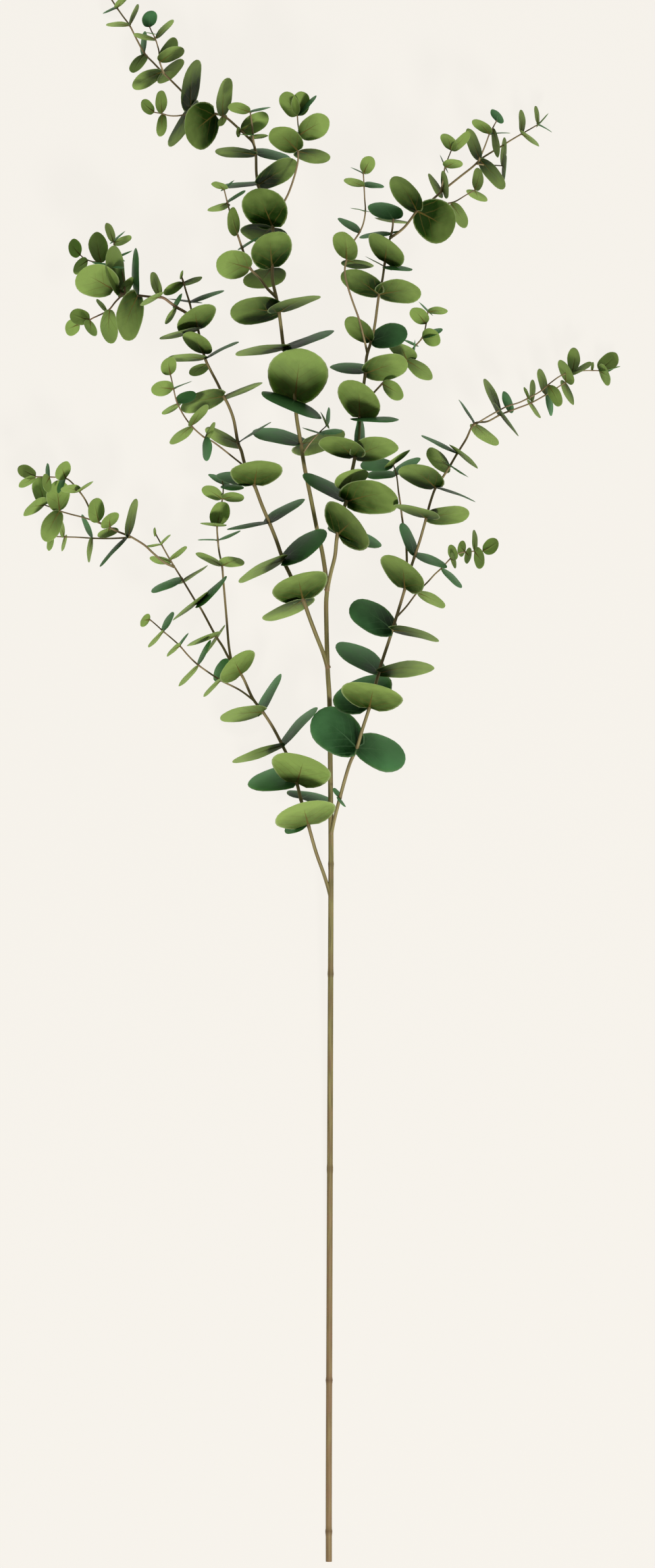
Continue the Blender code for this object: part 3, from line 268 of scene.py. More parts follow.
def leaf_points(shoot, fresh):
    """One point for each leaf of a stem, with what the growth tree needs to shape it there.

    A leaf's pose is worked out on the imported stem, and its foot then sits on the smooth one.
    """
    packed, line = straightened(route_of(shoot)), smooth(route_of(shoot))
    made = []
    for joint in shoot.joints:
        foot, along = nearest_on(packed, joint.x * MM, joint.y * MM)
        seat = nearest_on(line, foot.x, foot.y)[0]
        for leaf in joint.leaves:
            length, breadth, forward, side, upper = leaf_pose(foot, along, joint.length, leaf)
            kept = ON_EDGE + (1 - ON_EDGE) * abs(upper.z)
            bulge, arch = bend_chance.uniform(*BULGE) * kept, bend_chance.uniform(*ARCH) * kept
            made.append({"at": seat, "root": seat, "is_leaf": 1.0, "reach": forward * length,
                         "sideways": side, "outward": upper, "breadth": breadth,
                         "bulge": bulge * length, "kept": kept,
                         "arch": arch * breadth / 2, "phase": tone_chance.uniform(0, 6.28),
                         "tint": tone_chance.random() + fresh,
                         "age": min(length / FULL_GROWN, 1.0)})
    return made


# What the points of a skeleton carry, for the growth tree and the skins to read.
VALUES = ["girth", "from_foot", "ring", "tint", "is_leaf", "breadth", "bulge", "arch", "kept", "phase",
          "age"]
VECTORS = ["root", "reach", "sideways", "outward"]


def skeleton(shoots, tint, fresh):
    """A mesh of stem axes as edges and leaf feet as loose points, with their sizes as attributes."""
    points, edges = [], []
    for shoot in shoots:
        stem = stem_points(shoot, tint)
        edges += [(len(points) + i, len(points) + i + 1) for i in range(len(stem) - 1)]
        points += stem
    for shoot in shoots:
        points += leaf_points(shoot, fresh)
    mesh = bpy.data.meshes.new("growth")
    mesh.from_pydata([p["at"] for p in points], edges, [])
    for key in VALUES:
        layer = mesh.attributes.new(key, "FLOAT", "POINT")
        layer.data.foreach_set("value", [p.get(key, 0.0) for p in points])
    for key in VECTORS:
        layer = mesh.attributes.new(key, "FLOAT_VECTOR", "POINT")
        layer.data.foreach_set("vector", [c for p in points for c in p.get(key, (0, 0, 0))])
    return mesh


def give(tree, node, inputs):
    """Gives each input a value, or a link to an output or to the first output in use of a node."""
    for key, value in inputs.items():
        if isinstance(value, bpy.types.Node):
            value = next(output for output in value.outputs if output.enabled)
        if isinstance(value, bpy.types.NodeSocket):
            tree.links.new(value, node.inputs[key])
        else:
            node.inputs[key].default_value = value


def add(tree, kind, inputs=None, **settings):
    """A node with its settings, its values and its links.

    A Map Range's inputs 1 to 4 are the two ends that it reads and the two that it gives. A Mix's
    inputs 0, 6 and 7 are its share and its two colours.
    """
    made = tree.nodes.new(kind)
    for name, value in settings.items():
        setattr(made, name, value)
    give(tree, made, inputs or {})
    return made


def linear(colour):
    """An sRGB hex colour as the linear colour that a shader takes."""
    shares = [int(colour[i:i + 2], 16) / 255 for i in (1, 3, 5)]
    return [c / 12.92 if c <= 0.04045 else ((c + 0.055) / 1.055) ** 2.4 for c in shares] + [1.0]


def new_material(name):
    """A material with its node tree and its shader."""
    made = bpy.data.materials.new(name)
    made.use_nodes = True
    return made, made.node_tree, made.node_tree.nodes["Principled BSDF"]


VEIN_STEP = 3.5 * MM     # from a side vein to the next one, on the midrib's other side
VEIN_SLOPE = 0.8         # how far it climbs over how far it runs out
VEIN_CORE, VEIN_EDGE = 0.15 * MM, 0.6 * MM       # half its width, full and faded out
RIB_FOOT, RIB_TAPER = 0.95 * MM, 1.2 * MM        # half the midrib's width at its foot, and its loss
RIB_EDGE = 0.35 * MM     # over which the midrib fades sideways
CLOUD = 9 * MM           # size of a cloud of bloom
PORE = 1.1 * MM          # coarser than the real grain of the wax, so that it shows
NET_CELL = 1.6 * MM      # mesh of the finest veins
# Between these heights up the branch the leaves darken, a painted fall-off of the light.
LOW, HIGH = 550 * MM, 1050 * MM                  # up the branch, between which the leaves darken


def leaf_skin(name, shade, light, edge, vein, vein_strength, roughness):
    """One side of a eucalyptus leaf: a thin waxy skin over veins that branch from a midrib.

    The wax makes it matt with a soft gloss. The leaf darkens towards its foot, which is painted shade, and
    its rim is pale, partly its own margin and partly a painted highlight.
    """
    made, tree, shader = new_material(name)
    rim, share, tint, age = (add(tree, "ShaderNodeAttribute", attribute_name=key).outputs["Fac"]
                             for key in ("rim", "share", "tint", "age"))
    blade, root = (add(tree, "ShaderNodeAttribute", attribute_name=key).outputs["Vector"]
                   for key in ("blade", "root"))
    aside, along, _ = add(tree, "ShaderNodeSeparateXYZ", {0: blade}).outputs
    across = add(tree, "ShaderNodeMath", {0: aside}, operation="ABSOLUTE")
    cloud = add(tree, "ShaderNodeTexNoise", {"Vector": blade, "Scale": 1 / CLOUD, "Detail": 3.0})
    fine = add(tree, "ShaderNodeTexNoise", {"Vector": blade, "Scale": 1 / PORE, "Detail": 4.0})

    # Side veins leave the midrib at about 40 degrees, left and right by turns, and fade past the
    # middle of the leaf, as the midrib does. A faint net lies between them.
    climb = add(tree, "ShaderNodeMath", {0: across, 1: -VEIN_SLOPE, 2: along}, operation="MULTIPLY_ADD")
    sway = add(tree, "ShaderNodeMath", {0: cloud, 1: VEIN_STEP, 2: climb}, operation="MULTIPLY_ADD")
    by_turns = add(tree, "ShaderNodeMath", {0: aside, 1: 0.0}, operation="GREATER_THAN")
    step = add(tree, "ShaderNodeMath", {0: by_turns, 1: VEIN_STEP, 2: sway}, operation="MULTIPLY_ADD")
    to_vein = add(tree, "ShaderNodeMath", {0: step, 1: VEIN_STEP}, operation="PINGPONG")
    fading = add(tree, "ShaderNodeMapRange", {"Value": share, 1: 0.25, 2: 0.7, 3: 1.0, 4: 0.15})
    net = add(tree, "ShaderNodeTexVoronoi", {"Vector": blade, "Scale": 1 / NET_CELL},
              feature="DISTANCE_TO_EDGE")
    net_line = add(tree, "ShaderNodeMapRange", {"Value": net, 1: 0.0, 2: 0.08, 3: 0.08, 4: 0.0})
    drawn = add(tree, "ShaderNodeMapRange", {"Value": age, 1: 0.3, 2: 0.65, 3: 0.3, 4: 1.0})
    narrowing = add(tree, "ShaderNodeMath", {0: share, 1: -RIB_TAPER, 2: RIB_FOOT},
                    operation="MULTIPLY_ADD")
    off_rib = add(tree, "ShaderNodeMath", {0: narrowing, 1: across}, operation="SUBTRACT")
    midrib = add(tree, "ShaderNodeMapRange", {"Value": off_rib, 1: 0.0, 2: RIB_EDGE})
    veins = add(tree, "ShaderNodeMapRange",
                {"Value": to_vein, 1: VEIN_CORE, 2: VEIN_EDGE, 3: 0.5, 4: 0.0})
    for operation, other in (("MULTIPLY", fading), ("MAXIMUM", net_line), ("MULTIPLY", drawn),
                             ("MAXIMUM", midrib)):
        veins = add(tree, "ShaderNodeMath", {0: veins, 1: other}, operation=operation)

    # From painted shade at the foot to the bright outer half, with a cloudy bloom and a leaf's own tint.
    # Young leaves are brighter, and the leaves low on the branch are brighter too, a painted fall-off of
    # the light up the branch.
    up = add(tree, "ShaderNodeSeparateXYZ", {0: root}).outputs["Y"]
    young = add(tree, "ShaderNodeMapRange", {"Value": age, 1: 0.35, 2: 0.8, 3: 0.4, 4: -0.25})
    # Painted light: leaves low on the branch are brightened and high ones darkened, as by a lamp nearer
    # the branch's foot.
    low = add(tree, "ShaderNodeMapRange", {"Value": up, 1: LOW, 2: HIGH, 3: 0.22, 4: -0.2})
    # Painted shade: the blade is darkest at its foot and brightens towards its tip.
    painted_shade_and_tone = add(tree, "ShaderNodeMapRange", {"Value": share, 1: 0.0, 2: 0.8, 3: -0.3, 4: 0.6})
    for other, weight in ((tint, 0.45), (cloud, 0.5), (young, 1.0), (low, 1.0)):
        painted_shade_and_tone = add(tree, "ShaderNodeMath", {0: other, 1: weight, 2: painted_shade_and_tone}, operation="MULTIPLY_ADD")
    painted_shade_and_tone.use_clamp = True
    # The pale band along the rim is partly the leaf's own margin and partly a painted highlight.
    pale_rim_and_highlight = add(tree, "ShaderNodeMapRange", {"Value": rim, 1: 0.93, 2: 1.0, 3: 0.0, 4: 0.6})
    lines = add(tree, "ShaderNodeMath", {0: veins, 1: vein_strength}, operation="MULTIPLY")
    skin = linear(shade)
    for cover, colour in ((painted_shade_and_tone, light), (pale_rim_and_highlight, edge), (lines, vein)):
        skin = add(tree, "ShaderNodeMix", {0: cover, 6: skin, 7: linear(colour)}, data_type="RGBA")

    relief = add(tree, "ShaderNodeMath", {0: fine, 1: 0.25, 2: veins}, operation="MULTIPLY_ADD")
    bump = add(tree, "ShaderNodeBump", {"Strength": 0.35, "Distance": 0.15 * MM, "Height": relief})
    matt = add(tree, "ShaderNodeMapRange",
               {"Value": cloud, 1: 0.3, 2: 0.7, 3: roughness - 0.07, 4: roughness + 0.07})
    give(tree, shader, {"Base Color": skin, "Normal": bump, "Roughness": matt, "IOR": 1.45,
                        "Specular IOR Level": 0.07, "Subsurface Weight": 0.08,
                        "Subsurface Scale": 1.5 * MM, "Subsurface Radius": (0.5, 1.0, 0.25)})
    return made


STRIPE = 0.9 * MM        # width of a stripe of the bark
STRIPE_LENGTH = 25       # over its width
BLOTCH = 14 * MM
THIN, THICK = 0.5 * MM, 1.5 * MM                 # radius of a brown twig and of an olive stem
SLIM, STOUT = 1.6 * MM, 2.0 * MM                 # radius of the shoots and of the leader's foot
BROWN, OLIVE = 150 * MM, 420 * MM                # from the cut end, between which that foot turns


def stem_bark():
    """Young eucalyptus bark: smooth, olive and striped lengthwise, redder at the rings.

    It is dull with a faint silk. Thin twigs are browner than the thick stem, and so is its butt.
    """
    made, tree, shader = new_material("eucalyptus_bark")
    around = add(tree, "ShaderNodeAttribute", attribute_name="around").outputs["Vector"]
    girth, along, ring, tint = (add(tree, "ShaderNodeAttribute", attribute_name=key).outputs["Fac"]
                                for key in ("girth", "from_foot", "ring", "tint"))
    round_it = add(tree, "ShaderNodeVectorMath", {0: around, "Scale": girth}, operation="SCALE")
    lengthwise = add(tree, "ShaderNodeCombineXYZ", {"Z": along})
    place = add(tree, "ShaderNodeVectorMath", {0: round_it, 1: lengthwise}, operation="ADD")
    stretched = add(tree, "ShaderNodeVectorMath", {0: place, 1: (1.0, 1.0, 1 / STRIPE_LENGTH)},
                    operation="MULTIPLY")
    stripe = add(tree, "ShaderNodeTexNoise", {"Vector": stretched, "Scale": 1 / STRIPE, "Detail": 3.0})
    blotch = add(tree, "ShaderNodeTexNoise", {"Vector": place, "Scale": 1 / BLOTCH, "Detail": 2.0})
    stripes = add(tree, "ShaderNodeMapRange", {"Value": stripe, 1: 0.35, 2: 0.68})
    thick = add(tree, "ShaderNodeMapRange", {"Value": girth, 1: THIN, 2: THICK})
    dark, pale = (add(tree, "ShaderNodeMix", {0: thick, 6: linear(twig), 7: linear(stem)},
                      data_type="RGBA") for twig, stem in (("#806B48", "#6C6236"), ("#B29C74", "#9A9056")))
    bark = add(tree, "ShaderNodeMix", {0: stripes, 6: dark, 7: pale}, data_type="RGBA")
    blotched = add(tree, "ShaderNodeMapRange", {"Value": blotch, 1: 0.45, 2: 0.7, 3: 0.0, 4: 0.35})
    stout = add(tree, "ShaderNodeMapRange", {"Value": girth, 1: SLIM, 2: STOUT})
    butt = add(tree, "ShaderNodeMapRange", {"Value": along, 1: BROWN, 2: OLIVE, 3: 0.45, 4: 0.0})
    ruddy = add(tree, "ShaderNodeMath", {0: stout, 1: butt, 2: blotched}, operation="MULTIPLY_ADD")
    ruddy = add(tree, "ShaderNodeMath", {0: ruddy, 1: tint}, operation="ADD", use_clamp=True)
    scar = add(tree, "ShaderNodeMath", {0: ring, 1: 0.6}, operation="MULTIPLY")
    for cover, colour in ((ruddy, "#956F54"), (scar, "#5A4028")):
        bark = add(tree, "ShaderNodeMix", {0: cover, 6: bark, 7: linear(colour)}, data_type="RGBA")
    bump = add(tree, "ShaderNodeBump", {"Strength": 0.5, "Distance": 0.12 * MM, "Height": stripe})
    give(tree, shader, {"Base Color": bark, "Normal": bump, "Roughness": 0.62})
    return made


def cut_wood():
    """Fresh sapwood across the cut: pale and dry, with a trace of grain and a line of bark."""
    made, tree, shader = new_material("cut_sapwood")
    around = add(tree, "ShaderNodeAttribute", attribute_name="around").outputs["Vector"]
    out = add(tree, "ShaderNodeVectorMath", {0: around}, operation="LENGTH")
    grain = add(tree, "ShaderNodeTexNoise", {"Vector": around, "Scale": 9.0, "Detail": 4.0})
    bark_line = add(tree, "ShaderNodeMapRange", {"Value": out, 1: 0.86, 2: 0.98})
    wood = linear("#B79F6E")
    for cover, colour in ((grain, "#D8C79A"), (bark_line, "#6A5A33")):
        wood = add(tree, "ShaderNodeMix", {0: cover, 6: wood, 7: linear(colour)}, data_type="RGBA")
    give(tree, shader, {"Base Color": wood, "Roughness": 0.8})
    return made


SKINS = {
    "Upper Skin": leaf_skin("eucalyptus_leaf_upper_wax",
                            "#0F2F10", "#66A067", "#84AE7C", "#7CA676", 0.3, 0.5),
    "Under Skin": leaf_skin("eucalyptus_leaf_underside",
                            "#1B3207", "#8DA556", "#ACBE84", "#665628", 0.85, 0.57),
    "Bark": stem_bark(),
    "Cut Wood": cut_wood()}
BLADE = {
    "Blade Thickness": 0.45 * MM,    # at its middle
    "Stalk Width": 0.9 * MM,
    "Stalk Share": 0.04,             # the stalk's length over the leaf's
    "Rib Height": 0.45 * MM,         # how far the midrib stands out below
    "Edge Wave": 0.018,              # how far the edge waves, over the breadth
    "Lobe Reach": 0.13,              # how far a full-grown leaf's lobes reach back, over its length
    "Tip Point": 0.09}               # 0 leaves every tip round, and above it some come to a point

# Leaves are one grid each, bent to their own measure and closed with a second skin. Stems are
# tubes along the skeleton's edges.
growth = bpy.data.node_groups.new("growth", "GeometryNodeTree")
for labels, kind in ((["Skeleton"], "NodeSocketGeometry"), (BLADE, "NodeSocketFloat"),
                     (["Stem Sides"], "NodeSocketInt"), (SKINS, "NodeSocketMaterial")):
    for label in labels:
        growth.interface.new_socket(label, in_out="INPUT", socket_type=kind)
growth.interface.new_socket("Plant", in_out="OUTPUT", socket_type="NodeSocketGeometry")
given = dict(growth.nodes.new("NodeGroupInput").outputs.items())
told = {key: add(growth, "GeometryNodeInputNamedAttribute", {"Name": key}, data_type=kind).outputs[0]
        for keys, kind in ((VALUES, "FLOAT"), (VECTORS, "FLOAT_VECTOR")) for key in keys}
split = add(growth, "GeometryNodeSeparateGeometry",
            {"Geometry": given["Skeleton"], "Selection": told["is_leaf"]})

# A stem: a ring of unit radius drawn along the axis, its own place kept for the bark. A thick foot
# is cut wood, which shows at the leader's, as the shoots' own are sunk in their stems.
CUT_GIRTH = 1.9 * MM
AT_FOOT = 0.01 * MM
place = growth.nodes.new("GeometryNodeInputPosition")
profile = add(growth, "GeometryNodeCurvePrimitiveCircle",
              {"Resolution": given["Stem Sides"], "Radius": 1.0})
profile = add(growth, "GeometryNodeStoreNamedAttribute",
              {"Geometry": profile, "Name": "around", "Value": place}, data_type="FLOAT_VECTOR")
axis = add(growth, "GeometryNodeMeshToCurve", {"Mesh": split.outputs["Inverted"]})
tube = add(growth, "GeometryNodeCurveToMesh",
           {"Curve": axis, "Profile Curve": profile, "Scale": told["girth"], "Fill Caps": True})
tube = add(growth, "GeometryNodeSetMaterial", {"Geometry": tube, "Material": given["Bark"]})
at_foot = add(growth, "FunctionNodeCompare", {"A": told["from_foot"], "B": AT_FOOT},
              data_type="FLOAT", operation="LESS_THAN")
stout = add(growth, "FunctionNodeCompare", {"A": told["girth"], "B": CUT_GIRTH},
            data_type="FLOAT", operation="GREATER_THAN")
cut = add(growth, "FunctionNodeBooleanMath", {0: at_foot, 1: stout}, operation="AND")
tube = add(growth, "GeometryNodeSetMaterial",
           {"Geometry": tube, "Selection": cut, "Material": given["Cut Wood"]})

# A leaf's grid: rows from foot to tip, closer at both ends, and columns closer to the midrib. Each
# step of a sum is its name, its operation, and its terms, which are numbers or earlier names.
ROWS, COLUMNS = 13, 11
FULLNESS = 0.8           # 1 is an ellipse, and below 1 the foot and tip are blunter
CROWDING = 1.7           # 1 spaces the columns evenly, and above 1 they crowd to the midrib
grid = add(growth, "GeometryNodeMeshGrid",
           {"Size X": 1.0, "Size Y": 2.0, "Vertices X": ROWS, "Vertices Y": COLUMNS})
spot = add(growth, "ShaderNodeSeparateXYZ", {0: place})
sums = {"x": spot.outputs["X"], "y": spot.outputs["Y"]}
for name, operation, *terms in (
        ("row", "ADD", "x", 0.5),
        ("angle", "MULTIPLY", "row", math.pi),
        ("cosine", "COSINE", "angle"),
        ("share", "MULTIPLY_ADD", "cosine", -0.5, 0.5),
        ("width", "SINE", "angle"),
        ("width", "MAXIMUM", "width", 0.0),
        ("width", "POWER", "width", FULLNESS),
        ("column", "ABSOLUTE", "y"),
        ("column", "POWER", "column", CROWDING),
        ("hand", "SIGN", "y"),
        ("column", "MULTIPLY", "column", "hand"),
        # 0 at the grid's first and last row, and 1 from the next one on.
        ("inside", "PINGPONG", "row", 0.5),
        ("inside", "MULTIPLY", "inside", float(ROWS)),
        ("inside", "MINIMUM", "inside", 1.0)):
    terms = {i: sums.get(term, term) for i, term in enumerate(terms)}
    sums[name] = add(growth, "ShaderNodeMath", terms, operation=operation)
unit = add(growth, "ShaderNodeCombineXYZ", {"X": sums["share"], "Y": sums["column"], "Z": sums["width"]})
for name, value, kind in (("unit", unit, "FLOAT_VECTOR"), ("inside", sums["inside"], "FLOAT")):
    grid = add(growth, "GeometryNodeStoreNamedAttribute",
               {"Geometry": grid, "Name": name, "Value": value}, data_type=kind)
leaves = add(growth, "GeometryNodeInstanceOnPoints",
             {"Points": split.outputs["Selection"], "Instance": grid})
leaves = add(growth, "GeometryNodeRealizeInstances", {"Geometry": leaves})

# A blade's shape, from its own measures and from the grid's place on it.
LOBE_FALL = 5.0          # the higher, the closer to the foot the lobes stay
WAVE_RUN = 7.5           # radians of the edge's wave from foot to tip
WAVE_SLANT = 2.0         # radians by which it shifts from the midrib to the rim
RIM_FALL = 4.0           # the higher, the closer to its rim the blade keeps its thickness
RIB_FALL = 18.0          # half the blade's breadth over half its midrib's
WELD = 0.002 * MM        # across which the two skins are joined at the rim
unit = add(growth, "GeometryNodeInputNamedAttribute", {"Name": "unit"}, data_type="FLOAT_VECTOR")
unit = add(growth, "ShaderNodeSeparateXYZ", {0: unit})
inside = add(growth, "GeometryNodeInputNamedAttribute", {"Name": "inside"}, data_type="FLOAT")
grown = add(growth, "ShaderNodeMapRange", {"Value": told["age"], 1: 0.45, 2: 0.9})
reach = add(growth, "ShaderNodeVectorMath", {0: told["reach"]}, operation="LENGTH")
sums = {**told, **given, "share": unit.outputs["X"], "column": unit.outputs["Y"],
        "width": unit.outputs["Z"], "inside": inside, "grown": grown, "reach": reach}
for name, operation, *terms in (
        # Leaves differ in their tips, from round to bluntly pointed.
        ("pointed", "MULTIPLY", "share", "phase"),
        ("pointed", "MULTIPLY_ADD", "pointed", "Tip Point", 1.0),
        ("width", "POWER", "width", "pointed"),
        # Along: the stalk first, then the blade.
        ("blade", "SUBTRACT", 1.0, "Stalk Share"),
        ("along", "MULTIPLY_ADD", "share", "blade", "Stalk Share"),
        ("started", "GREATER_THAN", "share", 0.0001),
        ("along", "MULTIPLY", "along", "started"),
        # The lobes beside the foot of a full-grown leaf reach back past it.
        ("rest", "SUBTRACT", 1.0, "share"),
        ("lobe", "POWER", "rest", LOBE_FALL),
        ("outer", "MULTIPLY", "column", "column"),
        ("lobe", "MULTIPLY", "lobe", "outer"),
        ("lobe", "MULTIPLY", "lobe", "inside"),
        ("lobe", "MULTIPLY", "lobe", "grown"),
        ("lobe", "MULTIPLY", "lobe", "Lobe Reach"),
        ("along", "SUBTRACT", "along", "lobe"),
        ("far", "MULTIPLY", "along", "reach"),
        # Across: half the breadth there, and never less than the stalk.
        ("half", "MULTIPLY", "breadth", 0.5),
        ("half", "MULTIPLY", "half", "width"),
        ("stalk", "MULTIPLY", "Stalk Width", 0.5),
        ("stalk", "MULTIPLY", "stalk", "inside"),
        ("half", "MAXIMUM", "half", "stalk"),
        ("across", "MULTIPLY", "half", "column"),
        # Out of its plane: the middle stands up, the edges bend back, and the rim waves.
        ("spread", "MULTIPLY", "column", "width"),
        ("spread", "MULTIPLY", "spread", "spread"),
        ("hump", "MULTIPLY", "share", "rest"),
        ("hump", "MULTIPLY", "hump", 4.0),
        ("rise", "MULTIPLY", "hump", "bulge"),
        ("bent", "MULTIPLY", "spread", "arch"),
        ("rise", "SUBTRACT", "rise", "bent"),
        ("beat", "MULTIPLY_ADD", "share", WAVE_RUN, "phase"),
        ("beat", "MULTIPLY_ADD", "column", WAVE_SLANT, "beat"),
        ("beat", "SINE", "beat"),
        ("beat", "MULTIPLY", "beat", "spread"),
        ("beat", "MULTIPLY", "beat", "breadth"),
        ("beat", "MULTIPLY", "beat", "kept"),
        ("rise", "MULTIPLY_ADD", "beat", "Edge Wave", "rise"),
        # Thickness: full at the middle and nothing at the rim, where the two skins meet. The
        # midrib stands out below, and sinks into the blade towards the tip.
        ("thin", "POWER", "column", RIM_FALL),
        ("full", "SUBTRACT", 1.0, "thin"),
        ("full", "MULTIPLY", "full", "inside"),
        ("thick", "MULTIPLY", "Blade Thickness", 0.5),
        ("thick", "MULTIPLY", "thick", "full"),
        ("off_rib", "ABSOLUTE", "column"),
        ("ridge", "MULTIPLY_ADD", "off_rib", -RIB_FALL, 1.0),
        ("ridge", "MAXIMUM", "ridge", 0.0),
        ("ridge", "MULTIPLY", "ridge", "rest"),
        ("ridge", "MULTIPLY", "ridge", "inside"),
        ("ridge", "MULTIPLY", "ridge", "Rib Height"),
        ("above", "ADD", "rise", "thick"),
        ("below", "SUBTRACT", "rise", "thick"),
        ("below", "SUBTRACT", "below", "ridge"),
        # The share of the way from the midrib and the ends to the rim.
        ("short", "SUBTRACT", 1.0, "off_rib"),
        ("short", "MULTIPLY", "short", "width"),
        ("rim", "SUBTRACT", 1.0, "short")):
    terms = {i: sums.get(term, term) for i, term in enumerate(terms)}
    sums[name] = add(growth, "ShaderNodeMath", terms, operation=operation)

# What the skins' finish reads, with the place on the blade in metres.
blade = add(growth, "ShaderNodeCombineXYZ", {"X": sums["across"], "Y": sums["far"], "Z": told["phase"]})
for name, value, kind in (("blade", blade, "FLOAT_VECTOR"), ("share", sums["share"], "FLOAT"),
                          ("rim", sums["rim"], "FLOAT")):
    leaves = add(growth, "GeometryNodeStoreNamedAttribute",
                 {"Geometry": leaves, "Name": name, "Value": value}, data_type=kind)

# Where a low leaf would reach into the table, it lies on it instead.
forward, aside, lower, upper = (
    add(growth, "ShaderNodeVectorMath", {0: told[way], "Scale": sums[far]}, operation="SCALE")
    for way, far in (("reach", "along"), ("sideways", "across"), ("outward", "below"),
                     ("outward", "above")))
flat = add(growth, "ShaderNodeVectorMath", {0: forward, 1: aside}, operation="ADD")
flat = add(growth, "ShaderNodeVectorMath", {0: flat, 1: told["root"]}, operation="ADD")
lowest = add(growth, "ShaderNodeVectorMath", {0: lower, 1: upper}, operation="MINIMUM")
lowest = add(growth, "ShaderNodeVectorMath", {0: flat, 1: lowest}, operation="ADD")
height = add(growth, "ShaderNodeSeparateXYZ", {0: lowest}).outputs["Z"]
depth = add(growth, "ShaderNodeMath", {0: 0.0, 1: height}, operation="SUBTRACT")
depth = add(growth, "ShaderNodeMath", {0: depth, 1: 0.0}, operation="MAXIMUM")
raised = add(growth, "ShaderNodeCombineXYZ", {"Z": depth})
flat = add(growth, "ShaderNodeVectorMath", {0: flat, 1: raised}, operation="ADD")

# The two skins meet in a crisp edge, so the rim isn't shaded round like a cushion's.
closed = growth.nodes.new("GeometryNodeJoinGeometry")
for lifted, flipped, skin in ((upper, False, "Upper Skin"), (lower, True, "Under Skin")):
    spot = add(growth, "ShaderNodeVectorMath", {0: flat, 1: lifted}, operation="ADD")
    sheet = add(growth, "GeometryNodeSetPosition", {"Geometry": leaves, "Position": spot})
    if flipped:
        sheet = add(growth, "GeometryNodeFlipFaces", {"Mesh": sheet})
    sheet = add(growth, "GeometryNodeSetMaterial", {"Geometry": sheet, "Material": given[skin]})
    give(growth, closed, {0: sheet})
closed = add(growth, "GeometryNodeMergeByDistance", {"Geometry": closed, "Distance": WELD})
rim = add(growth, "GeometryNodeInputNamedAttribute", {"Name": "rim"}, data_type="FLOAT")
on_rim = add(growth, "FunctionNodeCompare", {"A": rim, "B": 0.999}, data_type="FLOAT",
             operation="GREATER_THAN")
closed = add(growth, "GeometryNodeSetShadeSmooth",
             {"Geometry": closed, "Selection": on_rim, "Shade Smooth": False}, domain="EDGE")
plant = growth.nodes.new("GeometryNodeJoinGeometry")
for half in (closed, tube):
    give(growth, plant, {0: half})
plant = add(growth, "GeometryNodeSetShadeSmooth", {"Geometry": plant})
plant = add(growth, "GeometryNodeRealizeInstances", {"Geometry": plant})
add(growth, "NodeGroupOutput", {0: plant})


def grow(shoots, sides=8, tint=0.0, fresh=0.0):
    """The finished stems and leaves of one node, as a plain mesh.

    Tint reddens the bark, and fresh brightens the leaves.
    """
    made = bpy.data.objects.new(shoots[0].name + "_growth", skeleton(shoots, tint, fresh))
    bpy.context.scene.collection.objects.link(made)
    modifier = made.modifiers.new("growth", "NODES")
    modifier.node_group = growth
    values = {**BLADE, **SKINS, "Stem Sides": sides}
    for item in growth.interface.items_tree:
        if item.name in values:
            modifier[item.identifier] = values[item.name]
    bpy.context.view_layer.update()
    graph = bpy.context.evaluated_depsgraph_get()
    mesh = bpy.data.meshes.new_from_object(made.evaluated_get(graph))
    made.modifiers.clear()
    made.data = mesh
    return made


leader = grow([MAIN_STEM, MIDDLE_TWIG, CROWN_TWIG, CROWN_SIDE_TWIG, CROWN_UPPER_TWIG], sides=14)
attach(leader, BODY)
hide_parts("main_stem")


# The top twig: a thin green twig that carries on upward where the leader turns left, and ends in
# three pairs of young leaves. It grows out of the leader with a small collar.

TOP_TWIG = Shoot(
    "top_twig", "main_stem", (1.6, 0.9),
    [(-41, 956, 58), (-36, 966, 61), (-30, 976, 66), (-25, 989.5, 72), (-22.5, 1000, 76),
     (-22.5, 1007, 78), (-21.5, 1018.5, 80), (-22.5, 1026, 81), (-23, 1033, 82)],
    [pair(-22.5, 1007, 26, (-40.5, 1022.5, 18), (-2, 1000, 10)),
     pair(-21.5, 1018.5, 23, (0, 1030, 16.5), (-38, 1023, 7, OVER)),
     pair(-23, 1032, 18, (-34, 1048.5, 12.5), (-18, 1049.5, 13), (-9, 1047, 5, OVER))])

top_twig = grow([TOP_TWIG])
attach(top_twig, BODY)
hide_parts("top_twig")


# The inner twig: a slim brown twig on the leader's left, with small leaves set wide apart.
# It grows out of the leader at a pair of large leaves.

INNER_TWIG = Shoot(
    "inner_twig", "main_stem", (2.0, 0.9),
    [(-38.5, 902, 56), (-45, 908, 58), (-51, 916, 61), (-57.5, 922.5, 63), (-62.5, 934.5, 67),
     (-66.5, 946, 70), (-70, 955, 72), (-74, 969.5, 74), (-76.5, 979.5, 74)],
    [pair(-57.5, 922.5, 26, (-81.5, 928.5, 21)),
     pair(-63.5, 936.5, 18, (-54.5, 944.5, 4.5, OVER)),
     pair(-66.5, 946.5, 21, (-72, 964.5, 10)),
     pair(-74, 969.5, 17, (-86.5, 964, 4.5), (-62.5, 979, 4.5, OVER)),
     pair(-76.5, 979, 13, (-82.5, 984, 6.5), (-71.5, 985.5, 4, OVER))])

inner_twig = grow([INNER_TWIG])
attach(inner_twig, BODY)
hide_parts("inner_twig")


# The low left shoot: the first side shoot, from the lowest fork up and out to the left. Its
# lowest leaves are the broadest of the branch, and it thins to a hair at the tip.

